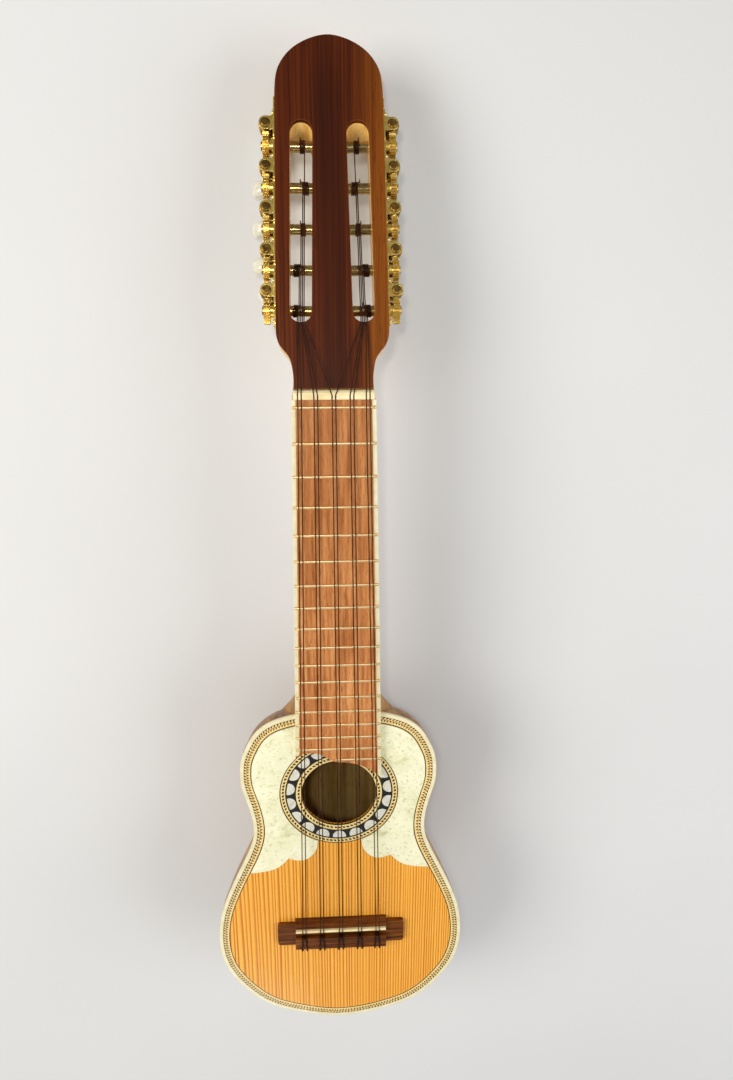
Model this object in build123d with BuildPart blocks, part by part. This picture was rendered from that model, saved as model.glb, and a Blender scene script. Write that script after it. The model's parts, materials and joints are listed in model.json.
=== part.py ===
from build123d import *
import math
import os

# A flat-topped string instrument with a carved bowl back: ten strings in five
# double courses, a tilted slotted head and geared tuners on both sides of it.
# X is across (treble side +X), Y runs towards the head, Z is up through the
# soundboard. The origin is the middle of the small flat on the back.
# Places along the instrument are stated as "down", the distance from the zero
# fret towards the tail, so Y = ZERO_Y - down. Those on the head are stated as
# "dist", the distance from its neck end towards its tip.

os.makedirs("parts", exist_ok=True)

# ---------------------------------------------------------------- dimensions
ZERO_Y = 345.0  # Y of the zero fret
SCALE = 370.0
TOP = 82.0  # upper face of the soundboard and of the neck
BOARD_T = 2.2  # soundboard thickness
RIM = TOP - BOARD_T
BIND_W = 2.5
PURF_EDGES = (BIND_W, 4.5, 5.0, 7.0, 7.5)  # insets of the purfling ring edges
INLAY_T = 1.2
HOLE_DOWN = 261.1
ROSETTE = (25.25, 29.5, 35.9, 40.2)  # ring radii, from the sound hole outwards
FINGER_T = 5.0
FINGER_TOP = TOP + FINGER_T
FRET_H = 1.0
FRET_TOP = FINGER_TOP + FRET_H
NUT_HEAD, NUT_BODY = -9.6, -4.5  # down of the two long faces of the nut
NUT_MID = (NUT_HEAD + NUT_BODY) / 2
UPWARD = (Align.CENTER, Align.CENTER, Align.MIN)
DOWNWARD = (Align.CENTER, Align.CENTER, Align.MAX)

# body outline from the tail to the neck: half width, down
OUTLINE = [
    (0, 457), (18, 455), (36.5, 450), (49, 445), (57, 440), (67.7, 430),
    (75.5, 420), (81.4, 410), (85, 400), (87, 388), (86.6, 371), (84, 357),
    (80, 345), (73.7, 330), (66.8, 315), (61.3, 302), (58.7, 290),
    (59.6, 278), (62.2, 266), (65.2, 255), (66, 245), (64.4, 232),
    (60.2, 222), (54.6, 213.2), (50.2, 209.1), (46, 206.3), (38, 203.0),
    (30, 200.9), (20, 199.2), (10, 198.4), (0, 198.2),
]
OUTLINE_HALF_WIDTH = 87.0
OUTLINE_SAMPLES = 72


def save(shape, label, node):
    """Name a piece and write its STEP file."""
    shape.label = label
    export_step(shape, "parts/" + node + ".step")


def point(x, down):
    return (x, ZERO_Y - down)


def mirrored(points):
    """The points reflected across the Y axis, in reverse order."""
    return [(-x, y) for x, y in reversed(points)]


right_rim = [point(x, down) for x, down in OUTLINE]
with BuildLine() as rim_line:
    Spline(*right_rim, *mirrored(right_rim[1:-1]), periodic=True)
rim_edge = rim_line.edges()[0]


def offset_outline(distance):
    """Points of the body outline moved sideways by distance."""
    points = []
    for i in range(OUTLINE_SAMPLES):
        at = rim_edge @ (i / OUTLINE_SAMPLES)
        tangent = rim_edge % (i / OUTLINE_SAMPLES)
        points.append((at.X - tangent.Y * distance, at.Y + tangent.X * distance))
    return points


# the curve may run either way round, so find which sign moves points inwards
probe_half_width = max(abs(x) for x, y in offset_outline(5.0))
INWARD = 1.0 if probe_half_width < OUTLINE_HALF_WIDTH else -1.0


def inset(distance):
    return offset_outline(INWARD * distance)


def level_face(points, z):
    """Horizontal face inside a closed smooth curve."""
    with BuildSketch(Plane.XY.offset(z)) as level:
        with BuildLine():
            Spline(*points, periodic=True)
        make_face()
    return level.sketch


# ---------------------------------------------------------------- carved back
BOWL_BASE_SCALE = 0.34  # size of the lowest section against the rim
BOWL_POWER = 1.75
LEVELS = (0.0, 0.1, 0.22, 0.36, 0.5, 0.64, 0.77, 0.88, 0.955, 1.0)
EGG_X, EGG_Y = 84.0, 128.0  # half axes of the waistless shape lower down
EGG_START, EGG_SHARE = 0.45, 0.4  # level where it comes in, its greatest share
CAVITY_BASE_SCALE = 0.30
CAVITY_FLOOR = 7.0
WALL_AT_RIM = 9.0
CAVITY_END = 216.0  # down beyond which the cavity is squeezed short of the neck
CAVITY_SQUEEZE = 0.25


def bowl_sections(outline, base_scale, floor):
    """Horizontal sections of a bowl: the outline drawn in towards the middle
    of the back, losing its waist on the way down."""
    sections = []
    for level in LEVELS:
        round_off = (1 - level**BOWL_POWER) ** (1 / BOWL_POWER)
        size = base_scale + (1 - base_scale) * round_off
        late = max(0.0, (level - EGG_START) / (1 - EGG_START))
        share = EGG_SHARE * late * late * (3 - 2 * late)
        ring = []
        for x, y in outline:
            angle = math.atan2(y / EGG_Y, x / EGG_X)
            egg_x, egg_y = EGG_X * math.cos(angle), EGG_Y * math.sin(angle)
            ring.append((
                (x * (1 - share) + egg_x * share) * size,
                (y * (1 - share) + egg_y * share) * size,
            ))
        sections.append(level_face(ring, RIM + (floor - RIM) * level))
    return sections


def bowl_blank():
    """Solid bowl, carried up to the top of the soundboard."""
    with BuildPart() as blank:
        loft(bowl_sections(inset(0), BOWL_BASE_SCALE, 0.0))
        extrude(level_face(inset(0), RIM), amount=BOARD_T)
    return blank.part


def cavity():
    """The hollow of the bowl."""
    limit = ZERO_Y - CAVITY_END
    rim = [
        (x, limit + (y - limit) * CAVITY_SQUEEZE if y > limit else y)
        for x, y in inset(WALL_AT_RIM)
    ]
    with BuildPart() as hollow:
        loft(bowl_sections(rim, CAVITY_BASE_SCALE, CAVITY_FLOOR))
    return hollow.part


# ---------------------------------------------------------------- head frame
HEAD_ANGLE = math.radians(13.5)
HEAD_DOWN = -10.0
HEAD_FACE_Z = FRET_TOP - 3.0
VENEER_T = 2.0
CORE_T = 16.0

# local frame of the head face: x across, y to the tip, z out of the face
head_plane = Plane(
    origin=(0, ZERO_Y - HEAD_DOWN, HEAD_FACE_Z),
    x_dir=(1, 0, 0),
    z_dir=(0, math.sin(HEAD_ANGLE), math.cos(HEAD_ANGLE)),
)


def head_point(x, dist, height):
    return head_plane.from_local_coords(Vector(x, dist, height))


# ---------------------------------------------------------------- neck, heel
NECK_HALF_ZERO = 24.3  # half width of the fingerboard at the zero fret
NECK_HALF_LOW, NECK_LOW_DOWN = 28.3, 231.0  # and at this place down it

# half sections from the top edge to the middle of the underside:
# share of the half width, share of the depth
PLAIN = [(1.0, 0.0), (0.985, 0.27), (0.92, 0.52), (0.74, 0.77), (0.42, 0.94), (0, 1)]
BOXY = [(1.0, 0.0), (1.0, 0.33), (0.995, 0.66), (0.95, 0.9), (0.6, 0.985), (0, 1)]
BELL = [(1.0, 0.0), (1.0, 0.16), (1.0, 0.42), (0.84, 0.66), (0.5, 0.9), (0, 1)]
# how far each point moves from the top half width to the widest
WIDENING = (0, 0.45, 1, 1, 1, 1)
FULL_FLARE = 4.0  # extra half width at which the section is all bell

# down, half width at the top, widest half width, depth
HEEL_STATIONS = [
    (230, 27.8, 46.5, 51.0), (222, 27.8, 45.8, 49.2), (214, 27.8, 42.8, 45.6),
    (206, 27.7, 38.0, 39.8), (198, 27.6, 32.2, 32.6), (190, 27.4, 28.9, 26.4),
    (182, 27.2, 27.6, 22.2), (174, 27.1, 27.1, 20.0), (166, 27.0, 27.0, 18.8),
    (158, 26.9, 26.9, 18.1), (150, 26.8, 26.8, 17.6),
]
NECK_END = (-6, 23.7, 23.7, 14.5)
# dist along the head, half width, depth, squareness
THROAT_STATIONS = [
    (4.5, 22.9, 15.3, 0.35), (10.5, 23.1, CORE_T, 0.7), (17.0, 24.3, CORE_T, 1.0),
]


def neck_half(down):
    """Half width of the fingerboard."""
    return NECK_HALF_ZERO + (NECK_HALF_LOW - NECK_HALF_ZERO) * down / NECK_LOW_DOWN


def section_face(plane, width, widest, depth, square):
    """Closed neck section: round underside, flat top, widths from the middle."""
    flare = min(1.0, max(0.0, (widest - width) / FULL_FLARE))
    left = []
    for plain, boxy, bell, widen in zip(PLAIN, BOXY, BELL, WIDENING):
        x, sink = (
            (p * (1 - square) + q * square) * (1 - flare) + r * flare
            for p, q, r in zip(plain, boxy, bell)
        )
        left.append((-x * (width + (widest - width) * widen), -sink * depth))
    full = left + mirrored(left[:-1])
    with BuildSketch(plane) as section:
        with BuildLine():
            Spline(*full)
            Line(full[-1], full[0])
        make_face()
    return section.sketch


def neck_section(station):
    down, width, widest, depth = station
    plane = Plane(origin=(0, ZERO_Y - down, TOP), x_dir=(1, 0, 0), z_dir=(0, -1, 0))
    return section_face(plane, width, widest, depth, 0.0)


def throat_section(station):
    dist, width, depth, square = station
    plane = Plane(
        origin=head_point(0, dist, -VENEER_T), x_dir=(1, 0, 0), z_dir=-head_plane.y_dir
    )
    return section_face(plane, width, width, depth, square)


def lofted(sections, ruled=False):
    with BuildPart() as blank:
        loft(sections, ruled=ruled)
    return blank.part


# ---------------------------------------------------------------- head
# half width, dist; the straight side runs between the two tables
HEAD_ROOT = [
    (23.7, 14.0), (24.9, 18.0), (27.4, 21.5), (30.2, 25.0), (31.7, 29.0), (32.1, 34.0),
]
HEAD_TIP = [
    (30.1, 160.0), (29.6, 168.0), (28.2, 174.5), (25.2, 180.0), (21.2, 184.5),
    (15.5, 188.5), (8.5, 191.5), (0.0, 193.0),
]
VENEER_START = 0.7
VENEER_ROOT = [(22.6, VENEER_START), (22.8, 8.0)] + HEAD_ROOT
SIDE_HALF_0, SIDE_DIST_0 = HEAD_ROOT[-1]
SIDE_HALF_1, SIDE_DIST_1 = HEAD_TIP[0]
SIDE_TILT = math.atan2(SIDE_HALF_0 - SIDE_HALF_1, SIDE_DIST_1 - SIDE_DIST_0)

SLOT_W = 12.6
SLOT_DIST_0, SLOT_DIST_1 = 37.7, 147.8
SLOT_LENGTH = SLOT_DIST_1 - SLOT_DIST_0
SLOT_X0, SLOT_X1 = 18.0, 15.6  # middle of the slot at its two ends
SLOT_RAMP = 10.0  # run of the ramp at the tip end
SLOT_DEPTH, SLOT_RISE = 22, 3  # reach of the cutter below and above the face
SLOT_ANGLE = math.degrees(math.atan2(SLOT_X0 - SLOT_X1, SLOT_LENGTH))
SLOT_LOCS = [
    head_plane.location
    * Location((side * SLOT_X0, SLOT_DIST_0, 0), (0, 0, side * SLOT_ANGLE))
    for side in (1, -1)
]

ROLLER_DEPTH = 9.0
ROLLER_FIRST, ROLLER_LAST = 45.8, 136.9
TUNERS = 5
PITCH = (ROLLER_LAST - ROLLER_FIRST) / (TUNERS - 1)
TUNER_DISTS = [ROLLER_FIRST + PITCH * i for i in range(TUNERS)]
SCREW_SHIFT = -7.2  # first screw pair from the first roller
SCREW_DISTS = [ROLLER_FIRST + SCREW_SHIFT + PITCH * i for i in range(TUNERS + 1)]
SCREW_Z = 5.4
SCREW_R = 0.75
ROLLER_R, ROLLER_BORE_R = 3.0, 3.05

NECK_FLAT_Y0, NECK_FLAT_Y1 = 120, 354.9
FLAT_CUT = 80  # size of the cutters that level the neck and the head core


def head_face(plane, root):
    """Head outline: root curve, straight sides and rounded tip."""
    left_root = mirrored(root)
    tip = HEAD_TIP + mirrored(HEAD_TIP[:-1])
    with BuildSketch(plane) as face:
        with BuildLine():
            Spline(*root)
            Line(root[-1], tip[0])
            Spline(*tip)
            Line(tip[-1], left_root[0])
            Spline(*left_root)
            Line(left_root[-1], root[0])
        make_face()
    return face.sketch


def slot_centre(dist):
    return SLOT_X0 + (SLOT_X1 - SLOT_X0) * (dist - SLOT_DIST_0) / SLOT_LENGTH


def side_frame(dist):
    """Location on the right side face of the head: x out of the wood, y to
    the tip, z along the head's normal, with the roller's axis on x."""
    share = (dist - SIDE_DIST_0) / (SIDE_DIST_1 - SIDE_DIST_0)
    half = SIDE_HALF_0 + (SIDE_HALF_1 - SIDE_HALF_0) * share
    return Plane(
        origin=head_point(half, dist, -ROLLER_DEPTH),
        x_dir=head_plane.x_dir * math.cos(SIDE_TILT) + head_plane.y_dir * math.sin(SIDE_TILT),
        z_dir=head_plane.z_dir,
    ).location


def slot_cutter():
    """One head slot: a ramp at its tip end, upright at its neck end."""
    with BuildPart() as tool:
        with BuildSketch(Plane.YZ.offset(-SLOT_W / 2)):
            with BuildLine():
                Polyline(
                    (0, SLOT_RISE), (0, -SLOT_DEPTH), (SLOT_LENGTH - SLOT_RAMP, -SLOT_DEPTH),
                    (SLOT_LENGTH, 0), (SLOT_LENGTH + 1.4, SLOT_RISE), close=True,
                )
            make_face()
        extrude(amount=SLOT_W)
        upright = tool.edges().filter_by(Axis.Z)
        fillet(upright, SLOT_W / 2 - 0.35)
        ramp = tool.edges().filter_by(
            lambda e: abs(abs(e.center().X) - SLOT_W / 2) < 0.01
            and e.center().Y > SLOT_LENGTH - 12
            and abs((e @ 1).Z - (e @ 0).Z) > 2
            and e.geom_type == GeomType.LINE
        )
        fillet(ramp, SLOT_W / 2 - 0.5)
    return tool.part


def head_bores():
    """Roller bores and screw holes of both sides of the head."""
    with BuildPart() as right:
        for dist in TUNER_DISTS:
            with Locations(side_frame(dist) * Location((-13, 0, 0), (0, 90, 0))):
                Cylinder(ROLLER_BORE_R, 27.0)
        for dist in SCREW_DISTS:
            for z in (SCREW_Z, -SCREW_Z):
                with Locations(side_frame(dist) * Location((-2, 0, z), (0, 90, 0))):
                    Cylinder(SCREW_R, 5.6)
    with BuildPart() as bores:
        add(right.part)
        mirror(about=Plane.YZ)
    return bores.part


def carved_bowl_neck(slot_tool):
    bowl = bowl_blank()
    hollow = cavity()
    heel = lofted([neck_section(station) for station in HEEL_STATIONS])
    shaft = lofted([neck_section(HEEL_STATIONS[-1]), neck_section(NECK_END)], ruled=True)
    throat = lofted(
        [neck_section(NECK_END)] + [throat_section(station) for station in THROAT_STATIONS]
    )
    bores = head_bores()
    with BuildPart() as carved:
        add(bowl)
        add(heel)
        add(shaft)
        add(throat)
        extrude(head_face(head_plane.offset(-VENEER_T - CORE_T), HEAD_ROOT), amount=CORE_T)
        add(hollow, mode=Mode.SUBTRACT)
        # flat top of the neck under the fingerboard and nut
        with Locations((0, (NECK_FLAT_Y0 + NECK_FLAT_Y1) / 2, TOP)):
            Box(
                FLAT_CUT, NECK_FLAT_Y1 - NECK_FLAT_Y0, 10,
                align=UPWARD, mode=Mode.SUBTRACT,
            )
        # flat face of the head core, for the veneer
        flat = Location((0, VENEER_START + FLAT_CUT / 2, 3.0 - VENEER_T))
        with Locations(head_plane.location * flat):
            Box(FLAT_CUT, FLAT_CUT, 6, mode=Mode.SUBTRACT)
        # room for the soundboard and its edge strip
        extrude(level_face(inset(0), RIM), amount=BOARD_T + 5, mode=Mode.SUBTRACT)
        with Locations(*SLOT_LOCS):
            add(slot_tool, mode=Mode.SUBTRACT)
        add(bores, mode=Mode.SUBTRACT)
    return carved.part


def head_veneer(slot_tool):
    with BuildPart() as veneer:
        extrude(head_face(head_plane.offset(-VENEER_T), VENEER_ROOT), amount=VENEER_T)
        with Locations(*SLOT_LOCS):
            add(slot_tool, mode=Mode.SUBTRACT)
    return veneer.part


slot_tool = slot_cutter()
save(
    carved_bowl_neck(slot_tool),
    "one-piece carved bowl, heel, neck and head core",
    "carved_bowl_neck",
)
save(head_veneer(slot_tool), "headstock face veneer", "headstock_veneer")


# ---------------------------------------------------------------- soundboard
def soundboard():
    """Top plate, stepped down at its edge and round the hole for the inlays."""
    with BuildPart() as board:
        extrude(level_face(inset(BIND_W), RIM), amount=BOARD_T - INLAY_T)
        extrude(level_face(inset(PURF_EDGES[-1]), RIM), amount=BOARD_T)
        with Locations((*point(0, HOLE_DOWN), RIM)):
            Cylinder(ROSETTE[0], BOARD_T, align=UPWARD, mode=Mode.SUBTRACT)
        with Locations((*point(0, HOLE_DOWN), TOP - INLAY_T)):
            Cylinder(ROSETTE[-1], INLAY_T, align=UPWARD, mode=Mode.SUBTRACT)
    return board.part


def edge_ring(outer, inner, thickness):
    """Strip following the body edge between two insets, flush with the top."""
    with BuildPart() as strip:
        extrude(level_face(inset(outer), TOP - thickness), amount=thickness)
        extrude(
            level_face(inset(inner), TOP - thickness), amount=thickness, mode=Mode.SUBTRACT
        )
    return strip.part


save(soundboard(), "soundboard", "soundboard")
save(edge_ring(0, BIND_W, BOARD_T), "body edge binding", "body_binding")
purfling_rings = [
    edge_ring(outer, inner, INLAY_T) for outer, inner in zip(PURF_EDGES[:-1], PURF_EDGES[1:])
]
save(Compound(children=purfling_rings), "rope and line purfling rings", "body_purfling")

# ---------------------------------------------------------------- rosette
MOONS = 15
MOON_STEP, MOON_FIRST = 19.5, 26.9  # degrees, running clockwise from above
MOON_R, MOON_AT = 4.55, 34.6  # disc radius and distance from the hole's middle
MOON_TRIM = 0.4  # gap between the cut side of a moon and the outer rope ring
rosette_plane = Plane(origin=(*point(0, HOLE_DOWN), TOP - INLAY_T))


def half_moons():
    angles = [math.radians(MOON_FIRST - MOON_STEP * i) for i in range(MOONS)]
    spots = [(MOON_AT * math.cos(angle), MOON_AT * math.sin(angle)) for angle in angles]
    with BuildPart() as pearls:
        with BuildSketch(rosette_plane):
            with Locations(*spots):
                Circle(MOON_R)
            Circle(ROSETTE[2] - MOON_TRIM, mode=Mode.INTERSECT)
        extrude(amount=INLAY_T)
    return pearls.part


def rosette_ring(inner, outer, pockets=None):
    with BuildPart() as ring:
        with BuildSketch(rosette_plane):
            Circle(outer)
            Circle(inner, mode=Mode.SUBTRACT)
        extrude(amount=INLAY_T)
        if pockets is not None:
            add(pockets, mode=Mode.SUBTRACT)
    return ring.part


moons = half_moons()
rosette_rings = [
    rosette_ring(ROSETTE[0], ROSETTE[1]),
    rosette_ring(ROSETTE[1], ROSETTE[2], moons),
    rosette_ring(ROSETTE[2], ROSETTE[3]),
]
save(Compound(children=rosette_rings), "rosette rope rings and dark field", "rosette_rings")
save(moons, "half-moon pearl pieces", "rosette_moons")

# ---------------------------------------------------------------- fingerboard
FINGER_START = NUT_BODY
FINGER_BIND = 2.45
STRIP_END = 260
# bass half of the end, from its corner towards the middle: x, down
BASS_END = [
    (-28.24, 227.8), (-23.5, 226.3), (-18.0, 226.0), (-13.0, 227.0),
    (-9.0, 229.0), (-4.5, 232.0),
]
# treble half of the end: an arc round the sound hole, widening outwards
ARC_R, ARC_GROWTH = 27.6, 4.2
ARC_X0, ARC_DOWN = 1.0, 246.5
ARC_STEPS = 8

LAST_FRET = 17
FRET_DOWNS = [SCALE * (1 - 2 ** (-n / 12)) for n in range(LAST_FRET + 1)]
FRET_HALF_W = 0.95
FRET_GAP = 0.25  # from the fret's end to the fingerboard's edge
LAST_FRET_X, LAST_TANG_X = -2.0, -1.2  # the last fret starts near the middle
TANG_W, TANG_DEPTH = 0.6, 1.6
TANG_GAP = 0.8  # from the tang's end to the side binding


def finger_face():
    """Whole fingerboard outline, wood and side strips together."""
    arc = []
    for i in range(ARC_STEPS + 1):
        x = ARC_X0 + (neck_half(ARC_DOWN) - ARC_X0) * i / ARC_STEPS
        radius = ARC_R + ARC_GROWTH * (i / ARC_STEPS) ** 2
        arc.append(point(x, HOLE_DOWN - math.sqrt(radius * radius - x * x)))
    bass = [point(x, down) for x, down in BASS_END]
    start_half = neck_half(FINGER_START)
    with BuildSketch(Plane.XY.offset(TOP)) as whole:
        with BuildLine():
            Spline(*bass, arc[0])
            Spline(*arc)
            Line(arc[-1], point(start_half, FINGER_START))
            Line(point(start_half, FINGER_START), point(-start_half, FINGER_START))
            Line(point(-start_half, FINGER_START), bass[0])
        make_face()
    return whole.sketch


def side_strip(side):
    """Long band covering one side strip of the fingerboard."""
    start = neck_half(FINGER_START) - FINGER_BIND
    end = neck_half(STRIP_END) - FINGER_BIND
    with BuildSketch(Plane.XY.offset(TOP)) as band:
        with BuildLine():
            Polyline(
                point(side * start, FINGER_START), point(side * end, STRIP_END),
                point(side * (end + 9), STRIP_END), point(side * (start + 9), FINGER_START),
                close=True,
            )
        make_face()
    return band.sketch


def tang_span(number, down):
    """X of the two ends of a fret's tang."""
    half = neck_half(down) - FINGER_BIND - TANG_GAP
    return (-half if number < LAST_FRET else LAST_TANG_X), half


def fingerboard():
    with BuildPart() as board:
        extrude(finger_face(), amount=FINGER_T)
        for side in (1, -1):
            extrude(side_strip(side), amount=FINGER_T, mode=Mode.SUBTRACT)
        for number, down in enumerate(FRET_DOWNS):
            start, end = tang_span(number, down)
            with Locations(((start + end) / 2, ZERO_Y - down, FINGER_TOP)):
                Box(end - start, TANG_W, TANG_DEPTH * 2, mode=Mode.SUBTRACT)
    return board.part


def fingerboard_binding():
    with BuildPart() as bands:
        extrude(side_strip(1), amount=FINGER_T)
        extrude(side_strip(-1), amount=FINGER_T)
    with BuildPart() as strips:
        extrude(finger_face(), amount=FINGER_T)
        add(bands.part, mode=Mode.INTERSECT)
    return strips.part


def fret_wire(number, down):
    """Rounded fret crown with its tang below."""
    end = neck_half(down) - FRET_GAP
    start = -end if number < LAST_FRET else LAST_FRET_X
    tang_start, tang_end = tang_span(number, down)
    y = ZERO_Y - down
    with BuildPart() as fret:
        with BuildSketch(Plane.YZ.offset(start)):
            with BuildLine():
                ThreePointArc(
                    (y - FRET_HALF_W, FINGER_TOP), (y, FRET_TOP), (y + FRET_HALF_W, FINGER_TOP)
                )
                Line((y + FRET_HALF_W, FINGER_TOP), (y - FRET_HALF_W, FINGER_TOP))
            make_face()
        extrude(amount=end - start)
        with Locations(((tang_start + tang_end) / 2, y, FINGER_TOP)):
            Box(tang_end - tang_start, TANG_W, TANG_DEPTH, align=DOWNWARD)
    return fret.part


save(fingerboard(), "fingerboard", "fingerboard")
save(fingerboard_binding(), "fingerboard side binding", "fingerboard_binding")
fret_wires = [fret_wire(number, down) for number, down in enumerate(FRET_DOWNS)]
save(Compound(children=fret_wires), "zero fret and seventeen frets", "frets")

# ---------------------------------------------------------------- pickguards
GUARD_T = 0.6
GUARD_FIT = 0.1  # gap to the purfling and to the rosette
GUARD_FINGER_GAP = 0.12
GUARD_START, GUARD_FINGER_END = 190, 236  # down of its run by the fingerboard
GUARD_FAR_X, GUARD_FAR_DOWN = 100, 325  # corner beyond the body edge
# shaped lower edge from the body edge to the rosette: x, down
GUARD_SWEEP = [(60.5, 323.6), (50, 322.2), (43, 319.6), (39, 316.2), (35.5, 312.2)]
GUARD_LOBE = [(35.5, 312.2), (31, 313.9), (25, 314.1), (18.8, 310), (15.5, 301.5)]
GUARD_INNER = (14.2, 296.0)


def treble_guard():
    start = point(neck_half(GUARD_START) + GUARD_FINGER_GAP, GUARD_START)
    finger_end = point(neck_half(GUARD_FINGER_END) + GUARD_FINGER_GAP, GUARD_FINGER_END)
    sweep_points = [point(x, down) for x, down in GUARD_SWEEP]
    lobe = [point(x, down) for x, down in GUARD_LOBE]
    limit = inset(PURF_EDGES[-1] + GUARD_FIT)
    with BuildPart() as guard:
        with BuildSketch(Plane.XY.offset(TOP)):
            with BuildLine():
                Polyline(
                    start, point(GUARD_FAR_X, GUARD_START),
                    point(GUARD_FAR_X, GUARD_FAR_DOWN), sweep_points[0],
                )
                Spline(*sweep_points)
                Spline(*lobe)
                Polyline(lobe[-1], point(*GUARD_INNER), finger_end, start)
            make_face()
            with Locations(point(0, HOLE_DOWN)):
                Circle(ROSETTE[-1] + GUARD_FIT, mode=Mode.SUBTRACT)
            with BuildSketch(mode=Mode.INTERSECT):
                with BuildLine():
                    Spline(*limit, periodic=True)
                make_face()
        extrude(amount=GUARD_T)
    return guard.part


def bass_guard(treble):
    """Both guards, less the treble one."""
    with BuildPart() as guard:
        add(treble)
        mirror(about=Plane.YZ)
        with Locations((50, 100, TOP)):
            Box(100, 500, 20, mode=Mode.SUBTRACT)
    return guard.part


guard_right = treble_guard()
save(guard_right, "treble side pickguard", "pickguard_right")
save(bass_guard(guard_right), "bass side pickguard", "pickguard_left")

# ---------------------------------------------------------------- braces
CROSS_BRACES = ((226.5, 92), (300.0, 84))  # down, length
CROSS_W, CROSS_H = 7, 9
CROSS_END_H, CROSS_SLOPE = 2.5, 14  # height at the ends, run of the end slopes
LONG_BRACES = ((-26, -5, 426), (0, 0, 434), (26, 5, 426))  # x, turn, down of tail end
LONG_START = 306
LONG_SIZE = 4.5


def soundboard_braces():
    with BuildPart() as braces:
        for down, length in CROSS_BRACES:
            half = length / 2
            with BuildSketch(Plane.XZ.offset(-(ZERO_Y - down) - CROSS_W / 2)):
                with BuildLine():
                    Polyline(
                        (-half, RIM), (half, RIM), (half, RIM - CROSS_END_H),
                        (half - CROSS_SLOPE, RIM - CROSS_H),
                        (-half + CROSS_SLOPE, RIM - CROSS_H),
                        (-half, RIM - CROSS_END_H), close=True,
                    )
                make_face()
            extrude(amount=CROSS_W)
        for x, turn, end in LONG_BRACES:
            middle = ZERO_Y - (LONG_START + end) / 2
            with Locations(Location((x, middle, RIM), (0, 0, turn))):
                Box(LONG_SIZE, end - LONG_START, LONG_SIZE, align=DOWNWARD)
    return braces.part


save(soundboard_braces(), "soundboard braces", "soundboard_braces")

# ---------------------------------------------------------------- bridge
STRING_R = 0.32
COURSE_SADDLE = (-26.0, -13.5, 0.0, 13.5, 26.0)  # x of the courses
COURSE_NUT = (-19.5, -10.3, 0.0, 10.3, 19.5)
PAIR_SADDLE, PAIR_NUT = 2.3, 2.1  # spacing within a course
SADDLE_HEAD, SADDLE_TAIL = 368.9, 371.3  # down of the two faces of its slot
SADDLE_MID = (SADDLE_HEAD + SADDLE_TAIL) / 2
SADDLE_HALF = 32.0
SADDLE_FIT = 0.02
SADDLE_FOOT = TOP + 2.6
SADDLE_TOP = TOP + 8.7
TIE_Z = TOP + 4.7

BRIDGE_HALF = 32.4
BRIDGE_HEAD, BRIDGE_TAIL = 364.4, 387.0
# side profile: down, height above the soundboard
BRIDGE_PROFILE = [
    (BRIDGE_HEAD, 0), (BRIDGE_HEAD, 2.6), (366.4, 6.4), (372.2, 6.4), (373.0, 3.3),
    (376.2, 3.3), (376.7, 7.2), (386.0, 7.2), (BRIDGE_TAIL, 6.0), (BRIDGE_TAIL, 0),
]
WING_DOWN = 376.15
WING_LENGTH, WING_W, WING_H, WING_CORNER = 90.4, 17.7, 3.4, 2.2
TIE_HOLE_R, TIE_HOLE_L, TIE_HOLE_DOWN = 0.5, 14, 381.5


def string_xs(courses, pair):
    return [centre + side * pair / 2 for centre in courses for side in (-1, 1)]


saddle_xs = string_xs(COURSE_SADDLE, PAIR_SADDLE)
nut_xs = string_xs(COURSE_NUT, PAIR_NUT)


def tie_bridge():
    with BuildPart() as bridge:
        with BuildSketch(Plane.YZ.offset(-BRIDGE_HALF)):
            with BuildLine():
                Polyline(*[(ZERO_Y - down, TOP + z) for down, z in BRIDGE_PROFILE], close=True)
            make_face()
        extrude(amount=2 * BRIDGE_HALF)
        # low plate that forms the wings
        with BuildSketch(Plane.XY.offset(TOP)):
            with Locations(point(0, WING_DOWN)):
                RectangleRounded(WING_LENGTH, WING_W, WING_CORNER)
        extrude(amount=WING_H)
        # saddle slot
        with Locations((*point(0, SADDLE_MID), SADDLE_FOOT)):
            Box(
                2 * SADDLE_HALF + 0.2, SADDLE_TAIL - SADDLE_HEAD, 12,
                align=UPWARD, mode=Mode.SUBTRACT,
            )
        for x in saddle_xs:
            with Locations(Location((x, ZERO_Y - TIE_HOLE_DOWN, TIE_Z), (90, 0, 0))):
                Cylinder(TIE_HOLE_R, TIE_HOLE_L, mode=Mode.SUBTRACT)
    return bridge.part


def bone_saddle():
    tail_y = ZERO_Y - SADDLE_TAIL + SADDLE_FIT
    head_y = ZERO_Y - SADDLE_HEAD - SADDLE_FIT
    middle = (tail_y + head_y) / 2
    with BuildPart() as saddle:
        with BuildSketch(Plane.YZ.offset(-SADDLE_HALF)):
            with BuildLine():
                Polyline(
                    (tail_y, SADDLE_FOOT), (head_y, SADDLE_FOOT),
                    (head_y, SADDLE_TOP - 0.7), (head_y - 0.45, SADDLE_TOP - 0.2),
                    (middle + 0.2, SADDLE_TOP), (middle - 0.1, SADDLE_TOP - 0.03),
                    (tail_y + 0.7, SADDLE_TOP - 0.75), (tail_y, SADDLE_TOP - 1.6),
                    close=True,
                )
            make_face()
        extrude(amount=2 * SADDLE_HALF)
    return saddle.part


save(tie_bridge(), "tie bridge", "bridge")
save(bone_saddle(), "bone saddle", "saddle")

# ---------------------------------------------------------------- strings
STRINGS = 2 * TUNERS
SPREAD_STEP = 0.95  # sideways step between the strings in one head slot


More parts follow.
